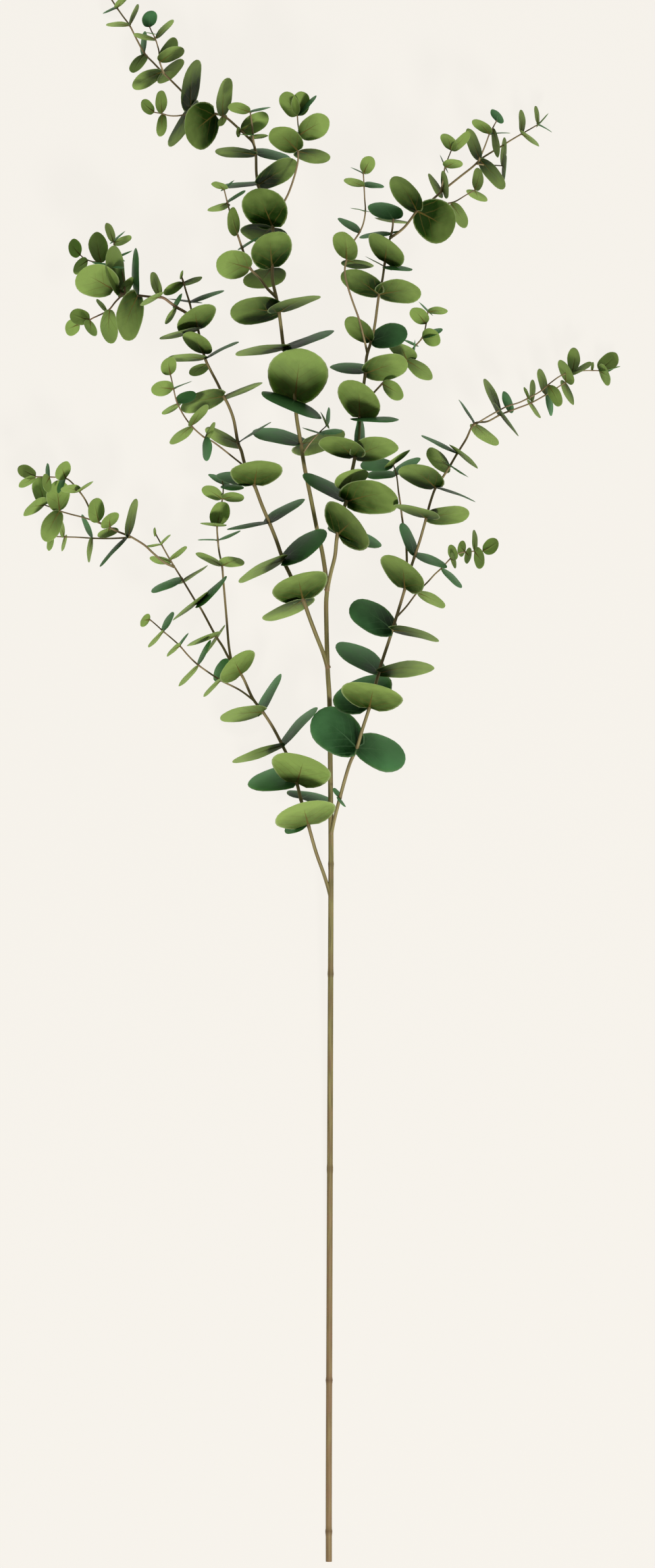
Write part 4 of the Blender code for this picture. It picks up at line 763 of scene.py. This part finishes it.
LOW_LEFT_SHOOT = Shoot(
    "low_left_shoot", "main_stem", (2.6, 1.0),
    [(1.5, 462.5, 26), (-3.5, 478.5, 28), (-9.5, 495.5, 32), (-15, 515, 36), (-20.5, 534, 38),
     (-23.5, 546, 40), (-29.5, 564, 42), (-34.5, 574.5, 43), (-41, 587, 43), (-48.5, 598.5, 44),
     (-56, 608.5, 44), (-63.5, 624.5, 45), (-72.5, 636.5, 45), (-78, 646.5, 45), (-83.5, 655, 45),
     (-93.5, 673.5, 44), (-97.5, 679, 44), (-107.5, 695.5, 42), (-116.5, 710, 40),
     (-123, 721.5, 39), (-127.5, 729.5, 39)],
    [pair(-15, 515.5, 39, (-19.5, 532, 46)),
     pair(-15, 515.5, 20, (-31.5, 514, 11, OVER)),
     pair(-20.5, 534.5, 32, (-2, 540, 17, OVER, -12)),
     pair(-23.5, 546, 40, (-17.5, 566, 45), (-55.5, 551, 22, OVER)),
     pair(-34.5, 574, 38, (-71, 561.5, 6.5), (-9.5, 602, 7.5, OVER)),
     pair(-48.5, 598.5, 33, (-79, 595.5, 11), (-38.5, 624.5, 9, OVER)),
     pair(-64, 626, 30, (-70, 638, 31)),
     pair(-83.5, 653.5, 26, (-100.5, 649, 4.5), (-78, 666.5, 6.5, OVER, -44)),
     pair(-97, 677.5, 31, (-118, 667, 7, UNDER, 32), (-74, 697, 7, OVER, 40)),
     pair(-107.5, 695.5, 25, (-130.5, 688, 7.5, OVER), (-92.5, 703.5, 2.5)),
     pair(-116.5, 710, 16, (-131, 710, 6, UNDER, -52), (-105, 720, 3.5)),
     pair(-123, 721.5, 12, (-134.5, 720, 1.5), (-118, 727.5, 2)),
     pair(-127, 728.5, 7, (-128.5, 732.5, 3))])

low_left_shoot = grow([LOW_LEFT_SHOOT], sides=10)
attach(low_left_shoot, BODY)
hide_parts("low_left_shoot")


# The low left shoot's outer twig: thin and almost straight, with small leaves seen on edge. It
# grows out of the shoot with a small collar, as every twig does.

LOW_LEFT_OUTER_TWIG = Shoot(
    "low_left_outer_twig", "low_left_shoot", (1.4, 0.9),
    [(-54.5, 606.5, 44), (-65.5, 614.5, 47), (-78.5, 621, 52), (-87, 626.5, 54), (-95.5, 632.5, 56),
     (-102.5, 639, 57), (-109, 646.5, 58), (-115, 652, 58), (-121, 657, 58), (-127, 662.5, 58),
     (-132.5, 667, 58)],
    [pair(-79, 621.5, 19, (-78.5, 637.5, 12, OVER, -4), (-91, 611.5, 3.5)),
     pair(-95.5, 632.5, 21, (-87, 651, 4.5, OVER), (-110, 617, 3.5)),
     pair(-109, 646.5, 14, (-105, 654.5, 3.5, OVER), (-117.5, 641, 4)),
     pair(-121, 657, 17, (-115, 671.5, 6, OVER), (-132, 646.5, 3)),
     pair(-131, 665.5, 11, (-137.5, 664.5, 9))])

low_left_outer_twig = grow([LOW_LEFT_OUTER_TWIG])
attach(low_left_outer_twig, BODY)
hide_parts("low_left_outer_twig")


# The low left shoot's inner twig: a slim twig that climbs between that shoot and the left one,
# and ends in a tuft of young leaves.

LOW_LEFT_INNER_TWIG = Shoot(
    "low_left_inner_twig", "low_left_shoot", (1.8, 0.9),
    [(-71.5, 635, 45), (-73.5, 647.5, 42), (-75, 665, 38), (-76.5, 682.5, 36), (-77.5, 694, 36),
     (-78.5, 706, 37), (-80.5, 715.5, 39), (-81.5, 724.5, 41), (-82, 735, 43), (-80, 746.5, 45),
     (-78, 755, 46), (-77.5, 764, 47), (-78.5, 769, 47)],
    [pair(-78.5, 706, 19, (-98, 715, 5), (-64.5, 710.5, 9.5)),
     pair(-81.5, 724.5, 17, (-94, 725.5, 2, OVER), (-64.5, 731.5, 3, OVER)),
     pair(-82, 734.5, 19, (-78.5, 752.5, 14), (-87, 736.5, 6)),
     pair(-78, 754.5, 17, (-92.5, 763, 9), (-63, 757, 7.5)),
     pair(-77.5, 765, 17, (-84, 773, 9, OVER), (-64.5, 761, 6.5, OVER))])

low_left_inner_twig = grow([LOW_LEFT_INNER_TWIG])
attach(low_left_inner_twig, BODY)
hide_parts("low_left_inner_twig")


# The far left spray: three thin twigs that fan out from near the low left shoot's tip, with the
# branch's smallest leaves. The spray comes down to the surface at its tip.

FAR_LEFT_SPRAY = Shoot(
    "far_left_spray", "low_left_shoot", (1.6, 0.9),
    [(-113.5, 705, 40), (-120.5, 708, 43), (-128.5, 714.5, 46), (-135, 720.5, 48),
     (-143, 725.5, 50), (-147, 727.5, 51), (-156, 731, 53), (-162.5, 734.5, 54), (-168.5, 737, 55),
     (-173.5, 743.5, 56), (-178, 753, 57), (-182.5, 759.5, 57), (-187.5, 765.5, 56),
     (-193, 769.5, 54), (-203.5, 770.5, 50), (-215.5, 771, 45)],
    [pair(-147, 727.5, 28, (-142, 754, 6), (-168, 704.5, 4.5, OVER)),
     pair(-160.5, 733.5, 16, (-160, 743, 13), (-163.5, 726.5, 13)),
     pair(-168.5, 737, 18.5, (-172, 754, 12.5)),
     pair(-182.5, 759.5, 15, (-175, 765.5, 2), (-194.5, 762.5, 7)),
     pair(-192.5, 769.5, 15, (-196, 779.5, 13), (-199.5, 762.5, 8, OVER)),
     pair(-204.5, 771, 14, (-208, 777, 7, OVER), (-208.5, 761, 9)),
     pair(-215, 771, 14, (-228, 778, 10), (-227.5, 763.5, 5.5))])

FAR_LEFT_MIDDLE_TWIG = Shoot(
    "far_left_middle_twig", "far_left_spray", (1.2, 0.9),
    [(-166, 736, 55), (-174, 739, 49), (-181.5, 741.5, 44), (-189, 743.5, 39), (-197, 746, 34),
     (-203, 748.5, 31), (-209.5, 751, 29)],
    [pair(-198, 746.5, 23, (-200, 768.5, 17), (-209, 724, 13)),
     pair(-209, 751, 21, (-213.5, 771.5, 14), (-222.5, 747, 10))])

FAR_LEFT_LOWER_TWIG = Shoot(
    "far_left_lower_twig", "far_left_spray", (1.3, 0.9),
    [(-145, 726.5, 51), (-153, 726, 44), (-163.5, 726, 35), (-174, 726.5, 27), (-185.5, 727.5, 19),
     (-195.5, 728, 13), (-203.5, 728.5, 10)],
    [pair(-174, 726.5, 19, (-182, 744, 4.5, OVER), (-177, 709, 3.5)),
     pair(-195.5, 728, 13, (-198, 739, 4), (-196, 719.5, 3.5)),
     pair(-203, 728.5, 13, (-208, 719.5, 5.5), (-207, 737.5, 5.5, OVER))])

far_left_spray = grow([FAR_LEFT_SPRAY, FAR_LEFT_MIDDLE_TWIG, FAR_LEFT_LOWER_TWIG])
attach(far_left_spray, BODY)
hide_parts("far_left_spray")


# The left shoot: the second side shoot on the left, long and slim, with round leaves that show
# their pale undersides all the way up.

LEFT_SHOOT = Shoot(
    "left_shoot", "main_stem", (3.0, 1.3),
    [(-0.5, 630.5, 43), (-4.5, 642.5, 46), (-8.5, 652.5, 50), (-13.5, 665.5, 54), (-19, 680.5, 58),
     (-25, 691.5, 59), (-29, 700, 60), (-33.5, 709.5, 61), (-38.5, 724, 62), (-43.5, 736.5, 62),
     (-49, 749.5, 63), (-54.5, 764, 64), (-61, 778, 64), (-64, 789, 64), (-66.5, 795, 64),
     (-69.5, 811.5, 64), (-73.5, 822.5, 64), (-77, 829, 64), (-81.5, 838.5, 63), (-87, 849, 62),
     (-90.5, 856.5, 62), (-93, 866, 61), (-95.5, 877, 60), (-99, 886, 60), (-102, 898, 58),
     (-104.5, 906, 57), (-106.5, 913, 56), (-108, 917, 56)],
    [pair(-19, 680.5, 38, (-22.5, 698, 42), (-41, 665.5, 13)),
     pair(-33.5, 709.5, 38, (-65.5, 694.5, 7), (-0.5, 729, 17, OVER, 12)),
     pair(-43.5, 736.5, 33, (-74, 732.5, 4.5, OVER), (-21, 754.5, 10, OVER)),
     pair(-54.5, 764, 35, (-51, 780.5, 37), (-70, 773, 18, OVER, 8)),
     pair(-66.5, 795, 28, (-91.5, 802, 10, UNDER, -56), (-42, 810, 3, OVER, 4)),
     pair(-77, 829, 33, (-108, 820.5, 13), (-53, 837, 3)),
     pair(-90.5, 856.5, 28, (-116, 857.5, 4.5), (-66, 868, 4.5, OVER, -4)),
     pair(-89, 853, 16, (-100, 844.5, 8)),
     pair(-91.5, 860, 24, (-101.5, 878, 16, UNDER, 12)),
     pair(-96, 877.5, 30, (-97.5, 892.5, 30), (-123, 871.5, 2.5)),
     pair(-102, 898, 26, (-76.5, 906.5, 5.5, OVER), (-112, 901.5, 6.5, OVER, -4)),
     pair(-106.5, 913, 17, (-95.5, 914.5, 4.5), (-121, 904, 6)),
     pair(-107.5, 916, 7, (-108, 920, 3))])

left_shoot = grow([LEFT_SHOOT], sides=10)
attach(left_shoot, BODY)
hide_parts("left_shoot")


# The left shoot's inner twig: a thin twig bowed out to the left, with small oval leaves. It
# leaves the shoot low down, and stands above it.

LEFT_INNER_TWIG = Shoot(
    "left_inner_twig", "left_shoot", (1.3, 0.9),
    [(-59.5, 776, 64), (-70, 784, 73), (-78.5, 790.5, 79), (-85, 795, 83), (-91, 798, 85),
     (-99, 805, 86), (-104.5, 812, 86), (-108, 818, 86), (-111, 824.5, 86), (-113, 833, 86),
     (-114.5, 840, 85), (-116, 845.5, 84)],
    [pair(-90.5, 797.5, 18, (-87.5, 781, 8, OVER), (-84, 804, 7)),
     pair(-100, 806, 21, (-114.5, 793, 6.5), (-90, 821, 6.5)),
     pair(-110.5, 822.5, 16, (-118, 815.5, 5), (-98, 831.5, 10, OVER)),
     pair(-113, 833, 17, (-129, 833.5, 11), (-102, 838.5, 2.5, OVER)),
     pair(-115.5, 843, 14, (-117, 855.5, 12))])

left_inner_twig = grow([LEFT_INNER_TWIG])
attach(left_inner_twig, BODY)
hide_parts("left_inner_twig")


# The left outer spray: a reddish twig that leaves the left shoot almost level, and breaks into
# three short twigs with leaves of all sizes.

LEFT_OUTER_SPRAY = Shoot(
    "left_outer_spray", "left_shoot", (2.2, 1.2),
    [(-98, 884, 60), (-104.5, 890, 64), (-111, 893.5, 68), (-116, 897, 70), (-121.5, 900.5, 72),
     (-130.5, 901, 73), (-139.5, 902, 74), (-147.5, 902.5, 74), (-153.5, 904, 74),
     (-157.5, 906.5, 74)],
    [pair(-111.5, 893.5, 13, (-109.5, 902.5, 5.5, OVER, 4), (-119.5, 881.5, 3.5)),
     pair(-123.5, 900.5, 19, (-128.5, 919, 7), (-134.5, 897, 4.5)),
     pair(-139.5, 902, 35, (-142, 936.5, 6.5, OVER, -4), (-149.5, 869.5, 19)),
     pair(-152, 903.5, 34, (-156.5, 938.5, 13)),
     pair(-154, 904, 18, (-143, 912, 8)),
     pair(-157, 906, 30, (-180.5, 918, 25, UNDER, -4))])

LEFT_OUTER_TOP_TWIG = Shoot(
    "left_outer_top_twig", "left_outer_spray", (1.2, 0.8),
    [(-154.5, 904.5, 74), (-159.5, 913, 67), (-163, 921, 62), (-167, 927, 58), (-173, 928, 55),
     (-179, 930.5, 52), (-182.5, 933.5, 50)],
    [pair(-166.5, 927, 23, (-170, 949.5, 13.5), (-156.5, 921.5, 8, OVER)),
     pair(-176.5, 929, 15, (-187, 920.5, 8)),
     pair(-182, 933, 14, (-189.5, 942.5, 11))])

STAR_TWIG = Shoot(
    "star_twig", "left_outer_spray", (1.2, 0.8),
    [(-148.5, 902.5, 74), (-150, 915, 64), (-153.5, 929, 54), (-158, 943.5, 46)],
    [pair(-154, 931, 15, (-159, 939, 6, OVER, -16), (-148, 936, 5, OVER)),
     pair(-158, 943, 15, (-163.5, 957, 6.5, OVER), (-145.5, 945.5, 5.5), (-152, 950.5, 4, OVER))])

LEFT_OUTER_LOW_TWIG = Shoot(
    "left_outer_low_twig", "left_outer_spray", (1.3, 0.9),
    [(-150, 903, 74), (-156, 897.5, 68), (-161, 892, 62), (-167.5, 889, 57), (-173.5, 886.5, 53),
     (-178, 884, 50), (-183, 883, 47)],
    [pair(-160.5, 892.5, 25, (-159.5, 867.5, 12)),
     pair(-162, 891.5, 12, (-170, 899, 4)),
     pair(-175, 885.5, 14, (-189.5, 890, 12.5), (-173, 873.5, 8.5)),
     pair(-182.5, 883, 13, (-193, 877.5, 11))])

left_outer_spray = grow([LEFT_OUTER_SPRAY, LEFT_OUTER_TOP_TWIG, STAR_TWIG, LEFT_OUTER_LOW_TWIG],
                        tint=0.55, fresh=0.7)
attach(left_outer_spray, BODY)
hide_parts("left_outer_spray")


# The right shoot: the second side shoot on the right, upright and crowded, with its leaves
# turned every way.

RIGHT_SHOOT = Shoot(
    "right_shoot", "main_stem", (2.8, 1.4),
    [(-1.5, 687.5, 47), (1.5, 700.5, 54), (4.5, 712.5, 62), (6, 726, 70), (10, 743, 76),
     (12.5, 751.5, 78), (13.5, 760.5, 80), (17, 774, 82), (19, 783.5, 83), (21.5, 796.5, 84),
     (22.5, 812, 85), (24, 826, 85), (26.5, 844.5, 85), (27.5, 856.5, 85), (31, 868.5, 85),
     (33.5, 880, 85), (36.5, 902, 84), (39, 913, 83), (40.5, 923.5, 82), (42.5, 935.5, 80),
     (46, 948.5, 78), (47, 957.5, 77)],
    [pair(6, 727.5, 38, (19.5, 739, 44), (33, 726.5, 17, OVER)),
     pair(12.5, 751.5, 40, (-14.5, 773, 14, OVER), (51, 757, 26, UNDER, 12)),
     pair(13.5, 760.5, 25, (19.5, 774, 21)),
     pair(19, 783.5, 33, (-0.5, 797.5, 18), (48, 793.5, 17)),
     pair(20, 788, 26, (23.5, 812.5, 8, OVER)),
     pair(22.5, 812, 33, (21, 837.5, 30), (44.5, 807.5, 9, OVER)),
     pair(26.5, 844.5, 32, (9, 853.5, 17, OVER), (56, 854, 18)),
     pair(30.5, 867.5, 25, (16, 882, 13.5, UNDER, -24), (56.5, 875.5, 19, OVER)),
     pair(36.5, 902, 32, (10.5, 918, 16), (66, 905, 16.5)),
     pair(40.5, 925.5, 30, (42, 949, 27, UNDER, 20)),
     pair(40.5, 922.5, 22, (32.5, 928, 3, OVER), (59.5, 918.5, 6, OVER)),
     pair(45.5, 946.5, 18, (60, 939, 12, UNDER, -76), (22, 944, 6, OVER, -4)),
     pair(47, 957, 25, (36, 971, 20, OVER), (60.5, 957, 3.5, OVER, -36))])

right_shoot = grow([RIGHT_SHOOT], sides=10)
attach(right_shoot, BODY)
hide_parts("right_shoot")


# The right shoot's inner twig: a thin wavy twig with its leaves far apart. It stands above the
# rest of the branch.

RIGHT_INNER_TWIG = Shoot(
    "right_inner_twig", "right_shoot", (1.5, 0.9),
    [(28, 859.5, 85), (25, 871.5, 93), (22, 882.5, 99), (17, 896, 103), (13, 908.5, 105),
     (11.5, 917.5, 106), (13, 926, 106), (17, 937, 106), (22, 945, 105), (25, 952, 104),
     (26.5, 961, 103), (26, 969.5, 102), (25.5, 979.5, 101), (25, 989, 100)],
    [pair(13, 925.5, 23, (11.5, 944.5, 18), (28.5, 920.5, 7)),
     pair(22, 944.5, 20, (7.5, 956.5, 7.5, OVER)),
     pair(26.5, 961, 15, (18.5, 961.5, 2.5, OVER)),
     pair(25.5, 979, 16, (11.5, 984, 5), (38.5, 981, 7, OVER)),
     pair(25, 988.5, 13, (31.5, 1000.5, 10.5), (18, 993, 2.5, OVER))])

right_inner_twig = grow([RIGHT_INNER_TWIG])
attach(right_inner_twig, BODY)
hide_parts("right_inner_twig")


# The right shoot's outer twig: a thin twig bowed out to the right, with small blunt leaves. It
# hangs lower than the shoot that it grows out of.

RIGHT_OUTER_TWIG = Shoot(
    "right_outer_twig", "right_shoot", (1.5, 0.9),
    [(23.5, 819, 85), (30, 827.5, 79), (37, 835.5, 74), (46, 845, 70), (56.5, 854.5, 67),
     (59.5, 861, 66), (63, 865.5, 66), (67.5, 870.5, 66), (70, 876.5, 66), (71.5, 884.5, 65),
     (72.5, 891, 64)],
    [pair(39, 837.5, 19, (54.5, 828, 11)),
     pair(57, 855, 23, (75.5, 841.5, 9.5), (49, 868, 15, UNDER, 4)),
     pair(63, 865.5, 12, (58, 870, 4.5, OVER), (61.5, 861.5, 4, OVER, 4)),
     pair(68, 871.5, 15, (81, 871.5, 13), (83, 878, 5.5, OVER)),
     pair(71, 881.5, 16, (61, 893, 11)),
     pair(72.5, 890.5, 15, (86.5, 891.5, 5), (69.5, 896, 5, OVER))])

right_outer_twig = grow([RIGHT_OUTER_TWIG])
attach(right_outer_twig, BODY)
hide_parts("right_outer_twig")


# The top right spray: the right shoot's tip leans over and breaks into five fine twigs, which
# come down to the surface at the far end.

TOP_RIGHT_SPRAY = Shoot(
    "top_right_spray", "right_shoot", (1.8, 0.9),
    [(44.5, 943.5, 79), (50.5, 947.5, 77), (55.5, 952, 75), (60, 958, 72), (64.5, 964, 69),
     (73.5, 971, 63), (83, 979.5, 57), (96.5, 991, 49), (105.5, 998.5, 43), (111.5, 1004.5, 39),
     (118.5, 1009.5, 34), (127, 1015, 29), (135, 1020.5, 23), (142, 1025, 18), (148.5, 1029, 14),
     (155, 1033, 11)],
    [pair(64.5, 964, 31, (47.5, 988.5, 15), (90.5, 948, 31)),
     pair(83, 979.5, 20, (74, 988.5, 6.5), (86.5, 987, 12)),
     pair(111, 1004, 24, (101.5, 1027, 8), (129, 983, 8.5)),
     pair(142, 1025, 18, (142, 1042.5, 4.5), (153.5, 1017.5, 2.5)),
     pair(154.5, 1032.5, 14, (153, 1046, 3), (163.5, 1029, 3, OVER), (160.5, 1038, 2.5))])

TOP_RIGHT_LOW_TWIG = Shoot(
    "top_right_low_twig", "top_right_spray", (1.2, 0.8),
    [(74.5, 972, 62), (82.5, 970.5, 56), (91.5, 972, 51), (100.5, 977.5, 46), (107, 981.5, 43)],
    [pair(89.5, 971.5, 21, (100.5, 953.5, 8.5)),
     pair(107, 981.5, 17, (111, 996, 9), (110.5, 975, 11))])

TOP_RIGHT_HIGH_TWIG = Shoot(
    "top_right_high_twig", "top_right_spray", (1.2, 0.8),
    [(81.5, 978, 58), (83.5, 986.5, 62), (84.5, 994.5, 65), (86.5, 1001, 67), (89.5, 1008.5, 68)],
    [pair(85, 996, 15, (96, 1000, 7.5), (83.5, 1002, 3, OVER)),
     pair(89.5, 1008, 15, (85.5, 1019.5, 10), (103, 1021.5, 6.5))])

TOP_RIGHT_TIP_TWIG = Shoot(
    "top_right_tip_twig", "top_right_spray", (1.1, 0.8),
    [(110, 1003, 40), (114.5, 1013.5, 45), (117.5, 1021.5, 49), (120.5, 1027, 52),
     (123, 1031.5, 54)],
    [pair(117.5, 1022, 17, (107, 1032, 7), (132, 1023.5, 2.5, OVER)),
     pair(120.5, 1026, 20, (124, 1004.5, 4.5)),
     pair(123, 1030.5, 13, (124, 1039, 11, OVER))])

TOP_RIGHT_SIDE_TWIG = Shoot(
    "top_right_side_twig", "top_right_spray", (1.1, 0.8),
    [(108.5, 1001, 41), (116.5, 1000.5, 36), (122.5, 1000.5, 33), (128, 1000.5, 30)],
    [pair(127.5, 1000, 21, (129, 1021.5, 4), (129.5, 994, 8))])

top_right_spray = grow([TOP_RIGHT_SPRAY, TOP_RIGHT_LOW_TWIG, TOP_RIGHT_HIGH_TWIG, TOP_RIGHT_TIP_TWIG,
                        TOP_RIGHT_SIDE_TWIG])
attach(top_right_spray, BODY)
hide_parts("top_right_spray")


# The low right shoot: the first side shoot on the right, which sweeps up past the right shoot's
# foot and then out to the right, down to the surface.

LOW_RIGHT_SHOOT = Shoot(
    "low_right_shoot", "main_stem", (2.6, 0.9),
    [(1.5, 509, 32), (5, 523.5, 38), (8, 535, 45), (11.5, 548, 52), (15.5, 561, 58),
     (20.5, 572, 62), (24.5, 585.5, 65), (29.5, 601, 67), (33, 614, 68), (37, 629, 69),
     (40, 638.5, 70), (44, 650.5, 70), (46.5, 658.5, 71), (51, 673, 71), (55.5, 688, 71),
     (58.5, 699, 71), (62.5, 711.5, 71), (66.5, 723.5, 71), (71, 739.5, 71), (74, 751, 71),
     (78, 762, 70), (83.5, 770, 68), (88.5, 778, 65), (94, 787.5, 61), (100.5, 798, 56),
     (106.5, 809.5, 51), (116.5, 811.5, 46), (126.5, 817, 41), (138, 821.5, 36), (149, 826, 31),
     (159.5, 832, 26), (168, 837.5, 22), (175, 842, 19)],
    [pair(8, 535, 10, (4.5, 542.5, 4.5, OVER), (10, 530, 4, OVER)),
     pair(20.5, 572, 38, (-10.5, 596.5, 33, OVER), (56, 567, 27, OVER)),
     pair(29.5, 601, 40, (33, 618, 46), (20.5, 622.5, 46, OVER)),
     pair(36.5, 627, 39, (8.5, 649.5, 18, OVER), (77.5, 630, 11)),
     pair(46.5, 658, 35.5, (16, 676.5, 23, OVER), (80, 650.5, 6)),
     pair(55.5, 688, 35, (51.5, 709.5, 28)),
     pair(62.5, 712, 26, (55.5, 732, 9.5, OVER, 28), (85.5, 706.5, 8.5, OVER)),
     pair(71, 739.5, 32, (51, 751.5, 11, UNDER, 16), (102, 744.5, 13)),
     pair(78, 762, 32, (56.5, 777.5, 18), (105.5, 753, 3.5, OVER)),
     pair(88.5, 778, 23, (71.5, 786, 13), (95, 772, 4.5, OVER)),
     pair(94, 787.5, 26, (67.5, 800.5, 4.5, OVER), (103, 782.5, 5.5)),
     pair(106.5, 809.5, 25, (99, 824.5, 4.5, OVER), (122, 794, 8.5)),
     pair(125.5, 816.5, 29, (114, 843, 5), (133, 808, 2.5)),
     pair(131.5, 819.5, 17, (131.5, 833, 9, OVER)),
     pair(149, 826.5, 17, (150, 843, 4), (152.5, 818, 4.5)),
     pair(159.5, 832, 20, (155.5, 851, 5.5, UNDER, -4), (165.5, 823, 11, OVER)),
     pair(175, 841.5, 20, (174, 858, 11, UNDER, 12), (178, 828, 6.5))])

LOW_RIGHT_TIP_TWIG = Shoot(
    "low_right_tip_twig", "low_right_shoot", (1.1, 0.8),
    [(106.5, 808.5, 51), (115.5, 814, 53), (122.5, 818, 53), (131, 822.5, 51), (139, 825, 48),
     (147, 829, 44), (155.5, 834, 39), (163, 840.5, 34), (170.5, 846, 28), (178, 849, 22),
     (187, 850.5, 16), (195, 851, 11), (200, 851, 9)],
    [pair(146, 828.5, 11, (144.5, 835, 3)),
     pair(161.5, 839, 18, (169, 825, 8, UNDER, 24)),
     pair(179.5, 849, 18, (181, 867, 9), (189.5, 852, 7, UNDER, -12)),
     pair(195, 851, 7, (194.5, 857, 2.5)),
     pair(199.5, 851, 17, (212.5, 864, 13), (207.5, 844.5, 10),
          (214.5, 853.5, 2.5))])

low_right_shoot = grow([LOW_RIGHT_SHOOT, LOW_RIGHT_TIP_TWIG], sides=10)
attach(low_right_shoot, BODY)
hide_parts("low_right_shoot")


# The low right shoot's inner twig: short and mostly hidden, with dark leaves in the thick of the
# branch. It grows out of the shoot among its middle leaves.

LOW_RIGHT_INNER_TWIG = Shoot(
    "low_right_inner_twig", "low_right_shoot", (1.8, 0.9),
    [(57, 693, 71), (57, 706.5, 67), (56.5, 721, 63), (55, 730.5, 60), (53.5, 741, 58),
     (52.5, 749.5, 57), (51, 759.5, 57), (49.5, 771.5, 58), (47, 779.5, 58)],
    [pair(49.5, 771.5, 23, (27, 772, 8, OVER), (65, 785, 9, OVER)),
     pair(47, 779, 22, (23, 778.5, 11, OVER), (53, 786.5, 7.5))])

low_right_inner_twig = grow([LOW_RIGHT_INNER_TWIG])
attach(low_right_inner_twig, BODY)
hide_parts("low_right_inner_twig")


# The low right shoot's side twig: a thin twig that runs out to the right, with small leaves close
# together. They are young, and brighter than the rest.

LOW_RIGHT_SIDE_TWIG = Shoot(
    "low_right_side_twig", "low_right_shoot", (1.3, 0.8),
    [(49, 667, 71), (56.5, 675, 66), (64.5, 685.5, 61), (72.5, 693.5, 58), (77.5, 699, 56),
     (83, 704, 55), (89, 710.5, 54), (95, 714.5, 54), (101, 715.5, 54), (106.5, 716, 54),
     (113, 716, 54)],
    [pair(65, 685.5, 22, (85, 675, 7)),
     pair(82, 703, 21, (97.5, 690.5, 6, OVER)),
     pair(89, 710.5, 12, (92, 719, 9), (93, 707.5, 8)),
     pair(100, 715.5, 12, (95, 720, 10), (103.5, 709.5, 9)),
     pair(106.5, 716, 16, (106.5, 731, 4), (113.5, 705.5, 10)),
     pair(112.5, 716, 14, (124, 723, 11))])

low_right_side_twig = grow([LOW_RIGHT_SIDE_TWIG], fresh=0.8)
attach(low_right_side_twig, BODY)
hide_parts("low_right_side_twig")


# The set: a plain warm off-white table top, lit from above as in a light tent, so that the branch
# throws almost no shadow. The paper glows a little, and the camera looks straight down on it.

FLOOR_SIZE = 80.0        # in metres, so large that no view from the side shows its edge
CAMERA_HEIGHT = 5.0
VIEW_CENTRE = (-1 * MM, 545.5 * MM)
VIEW_HEIGHT = 1161 * MM  # of the photograph's frame on the table
SENSOR = 36.0

reach = FLOOR_SIZE / 2
floor_mesh = bpy.data.meshes.new("table_top")
floor_mesh.from_pydata([(-reach, -reach, 0), (reach, -reach, 0), (reach, reach, 0), (-reach, reach, 0)],
                       [], [(0, 1, 2, 3)])
table_top = bpy.data.objects.new("table_top", floor_mesh)
bpy.context.scene.collection.objects.link(table_top)
paper, paper_tree, paper_shader = new_material("off_white_paper")
give(paper_tree, paper_shader,
     {"Base Color": linear("#3E3D3A"), "Roughness": 0.9, "Specular IOR Level": 0.0,
      "Emission Color": linear("#F6F2EB"), "Emission Strength": 0.96})
floor_mesh.materials.append(paper)

camera_data = bpy.data.cameras.new("camera")
camera_data.sensor_fit = "VERTICAL"
camera_data.sensor_height = SENSOR
camera_data.lens = SENSOR * CAMERA_HEIGHT / VIEW_HEIGHT
camera_data.clip_end = 100.0
camera = bpy.data.objects.new("camera", camera_data)
camera.location = (*VIEW_CENTRE, CAMERA_HEIGHT)
bpy.context.scene.collection.objects.link(camera)
bpy.context.scene.camera = camera

for name, place, size, power in (("key", (0.9, -2.0, 3.2), 0.8, 145.0),
                                 ("fill", (-0.6, 1.6, 3.2), 2.0, 10.0)):
    light_data = bpy.data.lights.new(name, "AREA")
    light_data.size = size
    light_data.energy = power
    light = bpy.data.objects.new(name, light_data)
    light.location = place
    aim = Vector((*VIEW_CENTRE, 0.0)) - Vector(place)
    light.rotation_mode = "QUATERNION"
    light.rotation_quaternion = aim.to_track_quat("-Z", "Y")
    bpy.context.scene.collection.objects.link(light)
world = bpy.data.worlds.new("studio")
world.use_nodes = True
give(world.node_tree, world.node_tree.nodes["Background"],
     {"Color": linear("#FFFBF4"), "Strength": 0.13})
bpy.context.scene.world = world
bpy.context.scene.view_settings.view_transform = "Standard"
